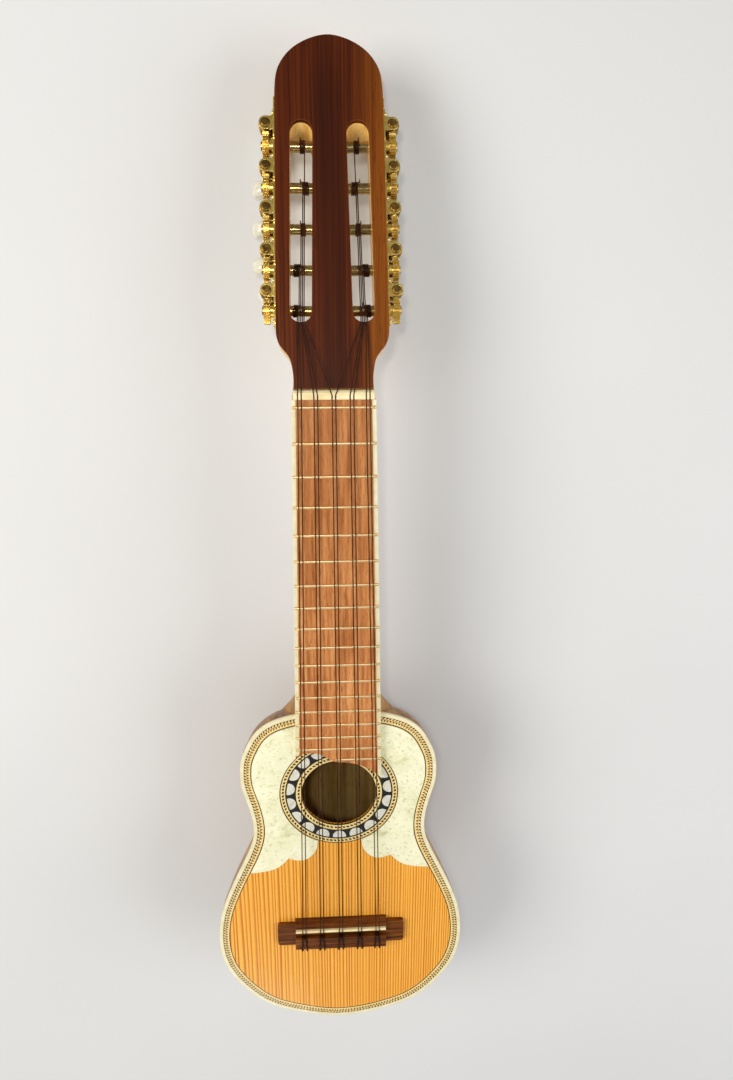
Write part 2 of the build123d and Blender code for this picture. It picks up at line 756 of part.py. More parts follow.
def string_path(index):
    """Corners of one string's run, from behind the bridge to its roller."""
    bass = index < TUNERS
    side = -1 if bass else 1
    tuner = index if bass else STRINGS - 1 - index
    roller_dist = TUNER_DISTS[tuner]
    spread = (2 - tuner) * SPREAD_STEP
    saddle_x, nut_x = saddle_xs[index], nut_xs[index]
    return [
        Vector(saddle_x, ZERO_Y - (BRIDGE_TAIL + 0.9), TIE_Z),
        Vector(saddle_x, ZERO_Y - 376.5, TIE_Z),
        Vector(saddle_x, ZERO_Y - SADDLE_MID, SADDLE_TOP + STRING_R + 0.12),
        Vector(nut_x, ZERO_Y, FRET_TOP + STRING_R + 0.03),
        Vector(nut_x, ZERO_Y - NUT_MID, FRET_TOP + STRING_R - 0.12),
        # over the neck end of the slot, then on top of the roller
        head_point(side * (slot_centre(38.0) + spread), 37.9, STRING_R + 0.05),
        head_point(
            side * (slot_centre(roller_dist) + spread),
            roller_dist - 0.4,
            -ROLLER_DEPTH + ROLLER_R + STRING_R + 0.06,
        ),
    ]


def string_solid(path):
    with BuildPart() as string:
        with BuildLine() as run:
            Polyline(*path)
        with BuildSketch(Plane(origin=path[0], z_dir=path[1] - path[0])):
            Circle(STRING_R)
        sweep(path=run.line, transition=Transition.RIGHT)
    return string.part


string_paths = [string_path(index) for index in range(STRINGS)]
string_solids = [string_solid(path) for path in string_paths]
save(Compound(children=string_solids), "ten strings in five double courses", "strings")

# ---------------------------------------------------------------- nut
NUT_TOP = FRET_TOP + 0.55
NUT_HALF = 23.2
GROOVE_FIT = 0.03


def bone_nut():
    """Nut with a string groove along each string, open at the top."""
    body_y, head_y = ZERO_Y - NUT_BODY, ZERO_Y - NUT_HEAD
    with BuildPart() as nut:
        with BuildSketch(Plane.YZ.offset(-NUT_HALF)):
            with BuildLine():
                Polyline(
                    (body_y, TOP), (head_y, TOP), (head_y, NUT_TOP - 2.2),
                    (head_y - 1.2, NUT_TOP - 0.6), (head_y - 2.8, NUT_TOP),
                    (body_y + 0.4, NUT_TOP), (body_y, NUT_TOP - 0.4), close=True,
                )
            make_face()
        extrude(amount=2 * NUT_HALF)
        for path in string_paths:
            fret_point, nut_point, head_edge = path[3:6]
            for start, end in ((fret_point, nut_point), (nut_point, head_edge)):
                run = end - start
                with BuildSketch(Plane(origin=start + (run * -0.1), z_dir=run)):
                    Circle(STRING_R + GROOVE_FIT)
                extrude(amount=run.length * 1.2, mode=Mode.SUBTRACT)
            with Locations((nut_point.X, ZERO_Y - NUT_MID, nut_point.Z + 2.0)):
                Box(2 * (STRING_R + GROOVE_FIT), 9, 4.0, mode=Mode.SUBTRACT)
    return nut.part


save(bone_nut(), "bone nut", "nut")

# ---------------------------------------------------------------- machines
# Every machine is first built in the frame of side_frame, on the right side
# of the head. The left side is the mirror image.
PLATE_T = 1.0
GEAR_TEETH = 14
ADDENDUM = 0.7
GEAR_PITCH_R, GEAR_ROOT_R = 7.0, 6.05
GEAR_TIP_R = GEAR_PITCH_R + ADDENDUM
WORM_PITCH_R, WORM_ROOT_R = 3.3, 2.4
WORM_LEAD = 2 * math.pi * GEAR_PITCH_R / GEAR_TEETH
WORM_TURNS = 2.5
WORM_RISE = WORM_LEAD * WORM_TURNS
MESH_X = 5.2  # worm axis, out from the side of the head
MESH_Y = GEAR_PITCH_R + WORM_PITCH_R
HUB_X0, GEAR_X0, GEAR_X1 = PLATE_T + 0.05, 3.4, 7.0
STUB_R = 2.0
NECK_R = 2.5
JOURNAL_R, JOURNAL_HOLE_R = 2.6, 2.66
LUG_Z0, LUG_Z1 = 5.25, 6.45
LUG_R = 3.6
LUG_X0 = 0.4
BUTTON_Z = -33.0
BUTTON_A, BUTTON_B, BUTTON_T = 11.0, 7.4, 9.0  # half axes, thickness
WORM_SHAFT_R = 2.0
WORM_SHAFT_END = -35.5
# half thickness of a gear tooth by radius, and of the thread by height from
# the pitch radius
TOOTH_FLANK = [(5.6, 0.82), (GEAR_ROOT_R, 0.80), (GEAR_PITCH_R, 0.54), (GEAR_TIP_R, 0.34)]
THREAD_FLANK = [
    (WORM_ROOT_R - 0.2 - WORM_PITCH_R, 0.70), (WORM_ROOT_R - WORM_PITCH_R, 0.66),
    (0, 0.48), (ADDENDUM, 0.30),
]
# radius, x from, x to
ROLLER_STEPS = (
    (ROLLER_R, -26.2, 0.0), (NECK_R, 0.0, HUB_X0), (STUB_R, HUB_X0, GEAR_X1),
)
# radius, z from, z to
WORM_STEPS = (
    (WORM_ROOT_R, -4.6, 4.6), (3.2, 4.6, 5.15), (3.2, -5.15, -4.6),
    (JOURNAL_R, 5.15, 7.3), (JOURNAL_R, -6.6, -5.15), (3.1, -7.6, -6.6),
    (WORM_SHAFT_R, WORM_SHAFT_END, -7.6), (2.9, -25.5, -23.9),
)
# turn of each button about its shaft, in degrees
BUTTON_TURN = {"right": (90, 84, 97, 88, 93), "left": (62, 3, -5, 2, 86)}


def both_flanks(flank):
    """Closed run of points from one flank and its reflection."""
    return [(x, -half) for x, half in flank] + list(reversed(flank))


def string_roller():
    with BuildPart() as roller:
        for radius, start, end in ROLLER_STEPS:
            with BuildSketch(Plane.YZ.offset(start)):
                Circle(radius)
            extrude(amount=end - start)
        # riveted end that holds the gear
        with BuildSketch(Plane.YZ.offset(GEAR_X1)):
            Circle(2.9)
        extrude(amount=1.1, taper=22)
        with Locations((GEAR_X1 + 1.1, 0, 0)):
            Box(1.0, 0.7, 8, mode=Mode.SUBTRACT)
        # hole for the string and shallow grooves either side of it
        with Locations((-14.0, 0, 0)):
            Cylinder(0.7, 10, mode=Mode.SUBTRACT)
        for x in (-25.0, -4.5):
            with BuildSketch(Plane.YZ.offset(x)):
                Circle(ROLLER_R + 0.01)
                Circle(ROLLER_R - 0.35, mode=Mode.SUBTRACT)
            extrude(amount=0.5, mode=Mode.SUBTRACT)
    return roller.part


def roller_gear():
    with BuildPart() as gear:
        with BuildSketch(Plane.YZ.offset(HUB_X0)):
            Circle(4.2)
        extrude(amount=GEAR_X0 - HUB_X0)
        with BuildSketch(Plane.YZ.offset(GEAR_X0)):
            Circle(GEAR_ROOT_R)
            for i in range(GEAR_TEETH):
                with BuildSketch(mode=Mode.PRIVATE) as tooth:
                    with BuildLine():
                        Polyline(*both_flanks(TOOTH_FLANK), close=True)
                    make_face()
                with Locations(Location((0, 0, 0), (0, 0, (i + 0.5) * 360 / GEAR_TEETH))):
                    add(tooth.sketch)
        extrude(amount=GEAR_X1 - GEAR_X0)
        # turned recess on the outer face
        with BuildSketch(Plane.YZ.offset(GEAR_X1 - 0.6)):
            Circle(5.3)
            Circle(3.4, mode=Mode.SUBTRACT)
        extrude(amount=0.6, mode=Mode.SUBTRACT)
        # bore
        with BuildSketch(Plane.YZ):
            Circle(STUB_R)
        extrude(amount=10, mode=Mode.SUBTRACT)
    return gear.part


def worm_and_shaft():
    with BuildPart() as thread:
        with BuildLine():
            coil = Helix(pitch=WORM_LEAD, height=WORM_RISE, radius=WORM_PITCH_R)
        with BuildSketch(Plane(origin=coil @ 0, x_dir=(1, 0, 0), z_dir=coil % 0)):
            with BuildLine():
                Polyline(*both_flanks(THREAD_FLANK), close=True)
            make_face()
        sweep(path=coil, is_frenet=True)
    with BuildPart() as worm:
        # thread ridge faces the gear (the -y side) at mid height
        with Locations(Location((0, 0, -WORM_RISE / 2), (0, 0, 270 - 180 * WORM_TURNS))):
            add(thread.part)
        for radius, start, end in WORM_STEPS:
            with Locations((0, 0, start)):
                Cylinder(radius, end - start, align=UPWARD)
        fillet(worm.edges().group_by(Axis.Z)[-1], 0.7)
    return worm.part


def tuner_button():
    with BuildPart() as button:
        with BuildSketch(Plane.XZ.offset(-BUTTON_T / 2)):
            with Locations((0, BUTTON_Z)):
                Ellipse(BUTTON_A, BUTTON_B)
        extrude(amount=BUTTON_T)
        fillet(button.edges(), 3.2)
        with Locations((0, 0, WORM_SHAFT_END)):
            Cylinder(WORM_SHAFT_R, 14, align=UPWARD, mode=Mode.SUBTRACT)
    return button.part


def place(shape, location, side, label, node):
    """Put a piece on the right of the head, mirror it for the left, save it."""
    with BuildPart() as right_side:
        with Locations(location):
            add(shape)
    placed = right_side.part
    if side == "left":
        with BuildPart() as left_side:
            mirror(right_side.part, about=Plane.YZ)
        placed = left_side.part
    save(placed, label, node + "_" + side)


roller, gear, worm, button = string_roller(), roller_gear(), worm_and_shaft(), tuner_button()
for side, turns in BUTTON_TURN.items():
    for i, dist in enumerate(TUNER_DISTS):
        frame = side_frame(dist)
        mesh = frame * Location((MESH_X, MESH_Y, 0))
        turned = mesh * Location((0, 0, 0), (0, 0, turns[i]))
        for shape, location, label, kind in (
            (roller, frame, "string roller", "roller"),
            (gear, frame, "roller gear", "gear"),
            (worm, mesh, "worm and shaft", "worm"),
            (button, turned, "tuner button", "button"),
        ):
            with BuildPart() as right_side:
                with Locations(location):
                    add(shape)
            placed = right_side.part
            if side == "left":
                with BuildPart() as left_side:
                    mirror(right_side.part, about=Plane.YZ)
                placed = left_side.part
            save(placed, label, f"{kind}_{side}_{i + 1}")

# ---------------------------------------------------------------- side plates
MID_DIST = 100.0  # dist of the plate frame's origin
PLATE_DIST_0, PLATE_DIST_1 = 35.6, 155.6
PLATE_W = 14.4
TONGUE_DIST, TONGUE_L, TONGUE_W = 158.0, 12.0, 6.4
WAVE_R, WAVE_Z, WAVE_SHIFT = 2.6, 8.6, 1.2


def along(dist):
    """Distance along the slanted side face from the middle of the plate."""
    return (dist - MID_DIST) / math.cos(SIDE_TILT)


def side_plate():
    """Plate with a pair of worm brackets for each tuner."""
    with BuildPart() as plate:
        with BuildSketch(Plane.YZ):
            with Locations(((PLATE_DIST_0 + PLATE_DIST_1) / 2 - MID_DIST, 0)):
                RectangleRounded(PLATE_DIST_1 - PLATE_DIST_0, PLATE_W, 2.0)
            with Locations((TONGUE_DIST - MID_DIST, 0)):
                RectangleRounded(TONGUE_L, TONGUE_W, 3.0)
            # wavy edge between the screws
            for dist in TUNER_DISTS:
                for z in (WAVE_Z, -WAVE_Z):
                    with Locations((along(dist) + WAVE_SHIFT, z)):
                        Circle(WAVE_R, mode=Mode.SUBTRACT)
        extrude(amount=PLATE_T)
        for dist in TUNER_DISTS:
            worm_y = along(dist) + MESH_Y
            for z in (LUG_Z0, -LUG_Z1):
                with BuildSketch(Plane.XY.offset(z)):
                    with Locations(((LUG_X0 + MESH_X) / 2, worm_y)):
                        Rectangle(MESH_X - LUG_X0, 2 * LUG_R)
                    with Locations((MESH_X, worm_y)):
                        Circle(LUG_R)
                extrude(amount=LUG_Z1 - LUG_Z0)
                with Locations((MESH_X, worm_y, z + (LUG_Z1 - LUG_Z0) / 2)):
                    Cylinder(JOURNAL_HOLE_R, 4, mode=Mode.SUBTRACT)
            with Locations(Location((PLATE_T / 2, along(dist), 0), (0, 90, 0))):
                Cylinder(NECK_R + 0.05, 4, mode=Mode.SUBTRACT)
        for dist in SCREW_DISTS:
            for z in (SCREW_Z, -SCREW_Z):
                with Locations(Location((PLATE_T / 2, along(dist), z), (0, 90, 0))):
                    Cylinder(SCREW_R, 4, mode=Mode.SUBTRACT)
    return plate.part


def plate_screws():
    """All screws of both plates, with slotted tapered heads."""
    with BuildPart() as proto:
        with BuildSketch(Plane.YZ.offset(-4.6)):
            Circle(SCREW_R)
        extrude(amount=4.6 + PLATE_T)
        with BuildSketch(Plane.YZ.offset(PLATE_T)):
            Circle(1.45)
        extrude(amount=0.8, taper=25)
        with Locations((PLATE_T + 0.8, 0, 0)):
            Box(0.6, 0.4, 4, mode=Mode.SUBTRACT)
    right_screws = []
    for dist in SCREW_DISTS:
        for z in (SCREW_Z, -SCREW_Z):
            with BuildPart() as screw:
                with Locations(mid_frame * Location((0, along(dist), z))):
                    add(proto.part)
            right_screws.append(screw.part)
    with BuildPart() as screws:
        for one in right_screws:
            add(one)
        for one in right_screws:
            mirror(one, about=Plane.YZ)
    return screws.part


mid_frame = side_frame(MID_DIST)
plate = side_plate()
for side in ("right", "left"):
    place(plate, mid_frame, side, side + " side plate with worm brackets", "tuner_plate")
save(plate_screws(), "plate screws", "plate_screws")
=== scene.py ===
"""A small ten-string fretted instrument: five courses of two strings.

It lies on its back over the floor, soundboard up (+Z), head towards +Y and
tail towards -Y. Lengths are metres unless a name or comment says mm.
"""
import bpy, bmesh, math, json, random
import numpy as np
from mathutils import Vector, Matrix


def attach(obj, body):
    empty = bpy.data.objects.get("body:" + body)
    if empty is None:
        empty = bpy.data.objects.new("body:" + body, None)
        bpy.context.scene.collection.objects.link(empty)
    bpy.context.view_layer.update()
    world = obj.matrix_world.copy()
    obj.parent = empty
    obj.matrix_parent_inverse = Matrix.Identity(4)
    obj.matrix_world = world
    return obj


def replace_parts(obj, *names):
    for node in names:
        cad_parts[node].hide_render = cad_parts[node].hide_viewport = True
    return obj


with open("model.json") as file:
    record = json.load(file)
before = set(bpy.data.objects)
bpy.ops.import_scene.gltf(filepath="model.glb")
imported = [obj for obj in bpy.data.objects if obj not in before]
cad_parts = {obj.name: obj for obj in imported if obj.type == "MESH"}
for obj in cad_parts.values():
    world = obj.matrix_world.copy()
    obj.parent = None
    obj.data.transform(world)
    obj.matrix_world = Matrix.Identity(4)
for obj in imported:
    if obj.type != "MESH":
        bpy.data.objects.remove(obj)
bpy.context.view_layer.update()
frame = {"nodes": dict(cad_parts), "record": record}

NODES = frame["nodes"]
random.seed(7)
rng = np.random.default_rng(7)

# ------------------------------------------------------------------ frame
MM = 0.001
ZERO_FRET_Y = 0.345
TOP = 0.082  # outer face of the soundboard
FRET_TOP = 0.088
HEAD_ANGLE = math.radians(13.5)  # the head leans back from the neck
HEAD_ORIGIN = Vector((0, ZERO_FRET_Y + 0.010, FRET_TOP - 0.003))
HEAD_X = Vector((1, 0, 0))
HEAD_Y = Vector((0, math.cos(HEAD_ANGLE), -math.sin(HEAD_ANGLE)))
HEAD_Z = Vector((0, math.sin(HEAD_ANGLE), math.cos(HEAD_ANGLE)))


def head_point(x, y, z):
    """A point of the head frame in mm, as a world point."""
    return HEAD_ORIGIN + (HEAD_X * x + HEAD_Y * y + HEAD_Z * z) * 0.001


def board_point(across, along, height):
    """Mm across, from the zero fret to the tail and over the soundboard, as a world point."""
    return Vector((across / 1000, ZERO_FRET_Y - along / 1000, TOP + height / 1000))


def srgb(*channels):
    """An 0-255 sRGB colour as linear RGBA."""
    def linear(value):
        value /= 255.0
        return value / 12.92 if value <= 0.04045 else ((value + 0.055) / 1.055) ** 2.4
    return (*map(linear, channels), 1.0)


# ------------------------------------------------------------------ shader toolkit
class Shader:
    """A material around one Principled node; a source is a (node, output) pair or a value."""
    INPUTS = {
        "color": "Base Color", "rough": "Roughness", "metal": "Metallic", "normal": "Normal",
        "coat": "Coat Weight", "coat_rough": "Coat Roughness", "spec": "Specular IOR Level",
        "subsurface": "Subsurface Weight", "sheen": "Sheen Weight",
    }

    def __init__(self, name):
        self.material = bpy.data.materials.new(name)
        self.material.use_nodes = True
        self.tree = self.material.node_tree
        self.tree.nodes.clear()
        output = self.node("OutputMaterial")
        self.principled = self.node("BsdfPrincipled")
        self.put((self.principled, "BSDF"), output, "Surface")
        self.coords = (self.node("TexCoord"), "Object")

    def node(self, kind, **settings):
        node = self.tree.nodes.new("ShaderNode" + kind)
        for key, value in settings.items():
            setattr(node, key, value)
        return node

    def put(self, source, node, socket):
        """Link a source to a socket, or set the socket's value."""
        if isinstance(source, tuple) and len(source) == 2 and hasattr(source[0], "outputs"):
            self.tree.links.new(source[0].outputs[source[1]], node.inputs[socket])
        else:
            node.inputs[socket].default_value = source

    def mapping(self, scale=(1, 1, 1), rotation=(0, 0, 0)):
        node = self.node("Mapping")
        self.put(self.coords, node, "Vector")
        node.inputs["Scale"].default_value = scale
        node.inputs["Rotation"].default_value = rotation
        return node, "Vector"

    def noise(self, vector, scale=1.0, detail=3.0, rough=0.5, distort=0.0):
        node = self.node("TexNoise")
        self.put(vector, node, "Vector")
        self.put(scale, node, "Scale")
        self.put(detail, node, "Detail")
        self.put(rough, node, "Roughness")
        self.put(distort, node, "Distortion")
        return node, "Fac"

    def cells(self, vector, scale):
        """A random value for each Voronoi cell."""
        node = self.node("TexVoronoi")
        self.put(vector, node, "Vector")
        self.put(scale, node, "Scale")
        return self.split((node, "Color"))[0]

    def ramp(self, factor, *stops):
        node = self.node("ValToRGB")
        self.put(factor, node, "Fac")
        elements = node.color_ramp.elements
        while len(elements) < len(stops):
            elements.new(0.5)
        for element, (position, color) in zip(elements, stops):
            element.position = position
            element.color = color
        return node, "Color"

    def mix(self, factor, first, second):
        node = self.node("Mix", data_type="RGBA")
        self.put(factor, node, 0)
        self.put(first, node, 6)
        self.put(second, node, 7)
        return node, 2

    def math(self, operation, first, second=None, clamp=False):
        node = self.node("Math", operation=operation, use_clamp=clamp)
        self.put(first, node, 0)
        if second is not None:
            self.put(second, node, 1)
        return node, 0

    def times(self, first, second):
        return self.math("MULTIPLY", first, second)

    def plus(self, first, second):
        return self.math("ADD", first, second)

    def remap(self, value, span, to=(0.0, 1.0), smooth=False):
        node = self.node("MapRange", interpolation_type="SMOOTHSTEP" if smooth else "LINEAR")
        self.put(value, node, "Value")
        for socket, limit in zip(("From Min", "From Max", "To Min", "To Max"), (*span, *to)):
            self.put(limit, node, socket)
        return node, "Result"

    def tint(self, base, color, by, span, amount, smooth=False):
        """Blend a colour in, from none to `amount` as `by` crosses the span."""
        return self.mix(self.remap(by, span, to=(0.0, amount), smooth=smooth), base, color)

    def split(self, vector=None):
        node = self.node("SeparateXYZ")
        self.put(vector or self.coords, node, "Vector")
        return [(node, axis) for axis in "XYZ"]

    def stretch(self, axes, scale, z=None):
        """Axes scaled one by one; with two scales, z is held at the given value."""
        parts = [self.times(axis, factor) for axis, factor in zip(axes, scale)]
        if z is not None:
            parts.append(z)
        node = self.node("CombineXYZ")
        for part, socket in zip(parts, "XYZ"):
            self.put(part, node, socket)
        return node, "Vector"

    def sway(self, noise, size):
        """A noise centred on zero."""
        return self.times(self.math("SUBTRACT", noise, 0.5), size)

    def grain(self, lines, along, wobble=0.0012, wobble_scale=9.0, detail=3.0, rough=0.55,
              rotation=(0, 0, 0)):
        """Noise with `lines` across x, drawn out along y and gently wandering; and its axes."""
        base = self.mapping(rotation=rotation)
        wander = self.sway(self.noise(base, scale=wobble_scale, detail=2.0), wobble * 2)
        x, y, z = self.split(base)
        bent = self.stretch((self.plus(x, wander), y, z), scale=(lines, along, lines * 0.35))
        return self.noise(bent, detail=detail, rough=rough), (x, y, z)

    def bump(self, height, strength, depth, normal=None):
        node = self.node("Bump")
        self.put(strength, node, "Strength")
        self.put(depth, node, "Distance")
        self.put(height, node, "Height")
        if normal:
            self.put(normal, node, "Normal")
        return node, "Normal"

    def bevel(self, radius):
        node = self.node("Bevel", samples=6)
        self.put(radius, node, "Radius")
        return node, "Normal"

    def wear(self, base, color, bevel, amount):
        """Blend a colour in where the bevelled normal leaves the true one: sharp edges."""
        dot = self.node("VectorMath", operation="DOT_PRODUCT")
        self.put(bevel, dot, 0)
        self.put((self.node("NewGeometry"), "Normal"), dot, 1)
        turned = self.math("SUBTRACT", 1.0, (dot, "Value"))
        mask = self.math("MULTIPLY", turned, 4.0, clamp=True)
        return self.mix(self.times(mask, amount), base, color)

    def surface(self, **values):
        """Set the Principled inputs and give back the material."""
        for key, value in values.items():
            self.put(value, self.principled, self.INPUTS[key])
        if "subsurface" in values:
            self.put((1.0, 0.8, 0.5), self.principled, "Subsurface Radius")
            self.put(0.001, self.principled, "Subsurface Scale")
        return self.material


# ------------------------------------------------------------------ woods
def spruce_top():
    """Soundboard: straight growth rings, wide on the left and fine on the right."""
    mat = Shader("spruce_top")
    axes = x, y, z = mat.split()
    wander = mat.noise(mat.mapping(scale=(9, 5, 1)), detail=1.0)
    step = mat.noise(mat.stretch(axes, scale=(170.0, 1.4), z=4.0), detail=1.0)
    bent_x = mat.plus(x, mat.sway(wander, size=0.0016))
    # rings per metre: 455 on the centre line, changing with x through the square term
    phase = mat.plus(mat.times(bent_x, 455.0), mat.times(mat.times(bent_x, bent_x), 800.0))
    ring = mat.math("FRACT", mat.plus(phase, mat.times(step, 1.9)))
    # late wood: rises slowly through each ring and ends sharply
    late = mat.remap(ring, span=(0.26, 0.74), smooth=True)
    late = mat.times(late, mat.remap(ring, span=(0.84, 0.98), to=(1.0, 0.0), smooth=True))
    power = mat.noise(mat.stretch(axes, scale=(90.0, 3.0), z=9.0), detail=2.0)
    late = mat.times(late, mat.remap(power, span=(0.30, 0.62), to=(0.50, 1.0)))
    fibre = mat.noise(mat.stretch(axes, scale=(3800.0, 70.0), z=0.0))
    early = mat.ramp(fibre, (0.30, srgb(246, 172, 56)), (0.52, srgb(252, 184, 70)),
                     (0.74, srgb(255, 196, 86)))
    color = mat.mix(late, early, srgb(186, 100, 10))
    silk = mat.noise(mat.mapping(scale=(140, 900, 100)), detail=2.0)
    color = mat.tint(color, srgb(255, 208, 124), by=silk, span=(0.56, 0.78), amount=0.14)
    cloud = mat.noise(mat.coords, scale=14.0)
    color = mat.tint(color, srgb(228, 140, 40), by=cloud, span=(0.35, 0.72), amount=0.20)
    band = mat.noise(mat.stretch(axes, scale=(36.0, 0.8), z=2.0), detail=1.0)
    color = mat.tint(color, srgb(216, 130, 36), by=band, span=(0.45, 0.70), amount=0.16)
    relief = mat.plus(late, mat.times(fibre, 0.4))
    polish = mat.noise(mat.coords, scale=60.0, detail=4.0)
    return mat.surface(
        color=color, rough=mat.remap(polish, span=(0.3, 0.7), to=(0.24, 0.36)),
        normal=mat.bump(relief, strength=0.10, depth=0.00006),
        coat=0.35, coat_rough=0.10, spec=0.28)


def brace_wood():
    mat = Shader("brace_wood")
    grain, _ = mat.grain(lines=500.0, along=10.0)
    return mat.surface(
        color=mat.ramp(grain, (0.3, srgb(170, 128, 78)), (0.7, srgb(214, 178, 124))),
        rough=0.62, normal=mat.bump(grain, strength=0.2, depth=0.0001))


def carved_wood():
    """Back, heel, neck and head core: yellow-brown wood with darker figure."""
    mat = Shader("carved_wood")
    grain, axes = mat.grain(lines=260.0, along=9.0, wobble=0.005, wobble_scale=6.0, detail=4.0)
    y = axes[1]
    figure = mat.noise(mat.mapping(scale=(26, 9, 20)), detail=4.0, rough=0.55, distort=0.5)
    band = mat.noise(mat.stretch(axes, scale=(80.0, 4.5, 60.0)), distort=0.35)
    color = mat.ramp(grain, (0.30, srgb(112, 72, 26)), (0.48, srgb(156, 108, 44)),
                     (0.68, srgb(184, 134, 62)))
    color = mat.tint(color, srgb(84, 48, 18), by=band, span=(0.52, 0.68), amount=0.62)
    color = mat.tint(color, srgb(196, 146, 66), by=figure, span=(0.54, 0.74), amount=0.35)
    # the head core and the ramps in its slots are paler wood
    pale = mat.ramp(grain, (0.30, srgb(210, 158, 78)), (0.52, srgb(236, 190, 106)),
                    (0.72, srgb(248, 210, 134)))
    on_head = mat.remap(y, span=(0.352, 0.362), smooth=True)
    # faces of the body that look up, inside the bowl, are paler: bare inner wood, lightened
    # further as painted light on the inside seen through the soundhole
    upward = mat.split((mat.node("NewGeometry"), "Normal"))[2]
    lit_inside = mat.times(mat.remap(upward, span=(-0.02, 0.10)),
                       mat.remap(y, span=(0.128, 0.134), to=(1.0, 0.0)))
    bare_and_lit = mat.ramp(grain, (0.30, srgb(160, 128, 66)), (0.52, srgb(200, 166, 96)),
                    (0.72, srgb(220, 190, 122)))
    color = mat.mix(on_head, color, pale)
    # painted light: the paler wood mixed in on the upward faces inside the bowl
    color = mat.mix(lit_inside, color, bare_and_lit)
    pores = mat.noise(mat.stretch(axes, scale=(1500.0, 60.0, 1500.0)), detail=2.0)
    color = mat.tint(color, srgb(64, 36, 14), by=pores, span=(0.62, 0.72), amount=0.5)
    return mat.surface(
        color=color, rough=mat.remap(figure, span=(0.3, 0.7), to=(0.34, 0.48)),
        normal=mat.bump(grain, strength=0.15, depth=0.0001, normal=mat.bevel(radius=0.0009)),
        coat=0.22, coat_rough=0.22, spec=0.35)


def head_veneer():
    """Face of the head: red-brown wood, fine straight grain along the head."""
    mat = Shader("head_veneer")
    grain, axes = mat.grain(lines=900.0, along=7.0, rough=0.5, rotation=(HEAD_ANGLE, 0, 0))
    x, y, z = axes
    wide = mat.noise(mat.stretch(axes, scale=(170.0, 3.0), z=1.7), detail=2.0)
    color = mat.ramp(grain, (0.26, srgb(58, 19, 1)), (0.44, srgb(78, 29, 3)),
                     (0.60, srgb(94, 39, 5)), (0.80, srgb(114, 52, 9)))
    color = mat.tint(color, srgb(52, 16, 2), by=wide, span=(0.46, 0.66), amount=0.30)
    # painted reflection: a lighter, more orange sheen along the right side, fading towards the
    # tip; the face is also darker towards the tip
    before_tip = mat.remap(y, span=(0.495, 0.545), to=(1.0, 0.3), smooth=True)
    right = mat.times(mat.remap(x, span=(0.010, 0.032), to=(0.0, 0.62), smooth=True), before_tip)
    orange_sheen = mat.ramp(grain, (0.3, srgb(124, 62, 8)), (0.7, srgb(180, 104, 22)))
    # painted reflection: the warm sheen mixed in along the right side
    color = mat.mix(right, color, orange_sheen)
    color = mat.tint(color, srgb(48, 14, 3), by=y, span=(0.42, 0.57), amount=0.42)
    # a darker core between the slots
    middle = mat.remap(mat.math("ABSOLUTE", x), span=(0.002, 0.016), to=(0.62, 0.0), smooth=True)
    slotted = mat.remap(y, span=(0.480, 0.530), to=(1.0, 0.0), smooth=True)
    color = mat.mix(mat.times(middle, slotted), color, srgb(42, 11, 1))
    pores = mat.noise(mat.stretch(axes, scale=(2400.0, 90.0), z=0.5), detail=2.0)
    color = mat.tint(color, srgb(36, 12, 3), by=pores, span=(0.60, 0.70), amount=0.5)
    bevel = mat.bevel(radius=0.0006)
    return mat.surface(
        color=mat.wear(color, srgb(176, 104, 48), bevel, amount=0.5), rough=0.42,
        normal=mat.bump(grain, strength=0.08, depth=0.00006, normal=bevel),
        coat=0.14, coat_rough=0.12, spec=0.10)


def fingerboard_wood():
    mat = Shader("fingerboard_wood")
    grain, axes = mat.grain(lines=420.0, along=22.0, wobble=0.0016, wobble_scale=14.0,
                            detail=4.0, rough=0.6)
    color = mat.ramp(grain, (0.26, srgb(134, 74, 28)), (0.42, srgb(186, 114, 58)),
                     (0.56, srgb(214, 142, 80)), (0.76, srgb(236, 172, 110)))
    pores = mat.noise(mat.stretch(axes, scale=(2600.0, 190.0), z=0.3), detail=2.0)
    color = mat.tint(color, srgb(84, 40, 16), by=pores, span=(0.58, 0.68), amount=0.55)
    cloud = mat.noise(mat.mapping(scale=(60, 22, 30)))
    color = mat.tint(color, srgb(164, 92, 40), by=cloud, span=(0.45, 0.7), amount=0.30)
    # a little deeper in colour towards the nut
    color = mat.tint(color, srgb(134, 76, 24), by=axes[1], span=(0.16, 0.33), amount=0.34,
                     smooth=True)
    return mat.surface(
        color=color, rough=mat.remap(grain, span=(0.3, 0.7), to=(0.34, 0.5)),
        normal=mat.bump(pores, strength=0.25, depth=0.00008),
        coat=0.10, coat_rough=0.25, spec=0.35)


def bridge_rosewood():
    """Dark wood with its grain running across the instrument, along x."""
    mat = Shader("bridge_rosewood")
    base = mat.mapping()
    axes = x, y, z = mat.split(base)
    wander = mat.sway(mat.noise(base, scale=30.0, detail=2.0), size=0.004)
    bent = mat.stretch((x, mat.plus(y, wander), z), scale=(26.0, 520.0, 420.0))
    grain = mat.noise(bent, detail=4.0, rough=0.6)
    color = mat.ramp(grain, (0.28, srgb(40, 17, 2)), (0.46, srgb(88, 43, 6)),
                     (0.60, srgb(120, 64, 13)), (0.8, srgb(154, 92, 28)))
    pores = mat.noise(mat.stretch(axes, scale=(160.0, 2600.0, 2600.0)), detail=2.0)
    color = mat.tint(color, srgb(24, 10, 5), by=pores, span=(0.60, 0.70), amount=0.6)
    bevel = mat.bevel(radius=0.0006)
    return mat.surface(
        color=mat.wear(color, srgb(150, 96, 52), bevel, amount=0.35), rough=0.42,
        normal=mat.bump(grain, strength=0.2, depth=0.0001, normal=bevel),
        coat=0.10, coat_rough=0.2, spec=0.14)


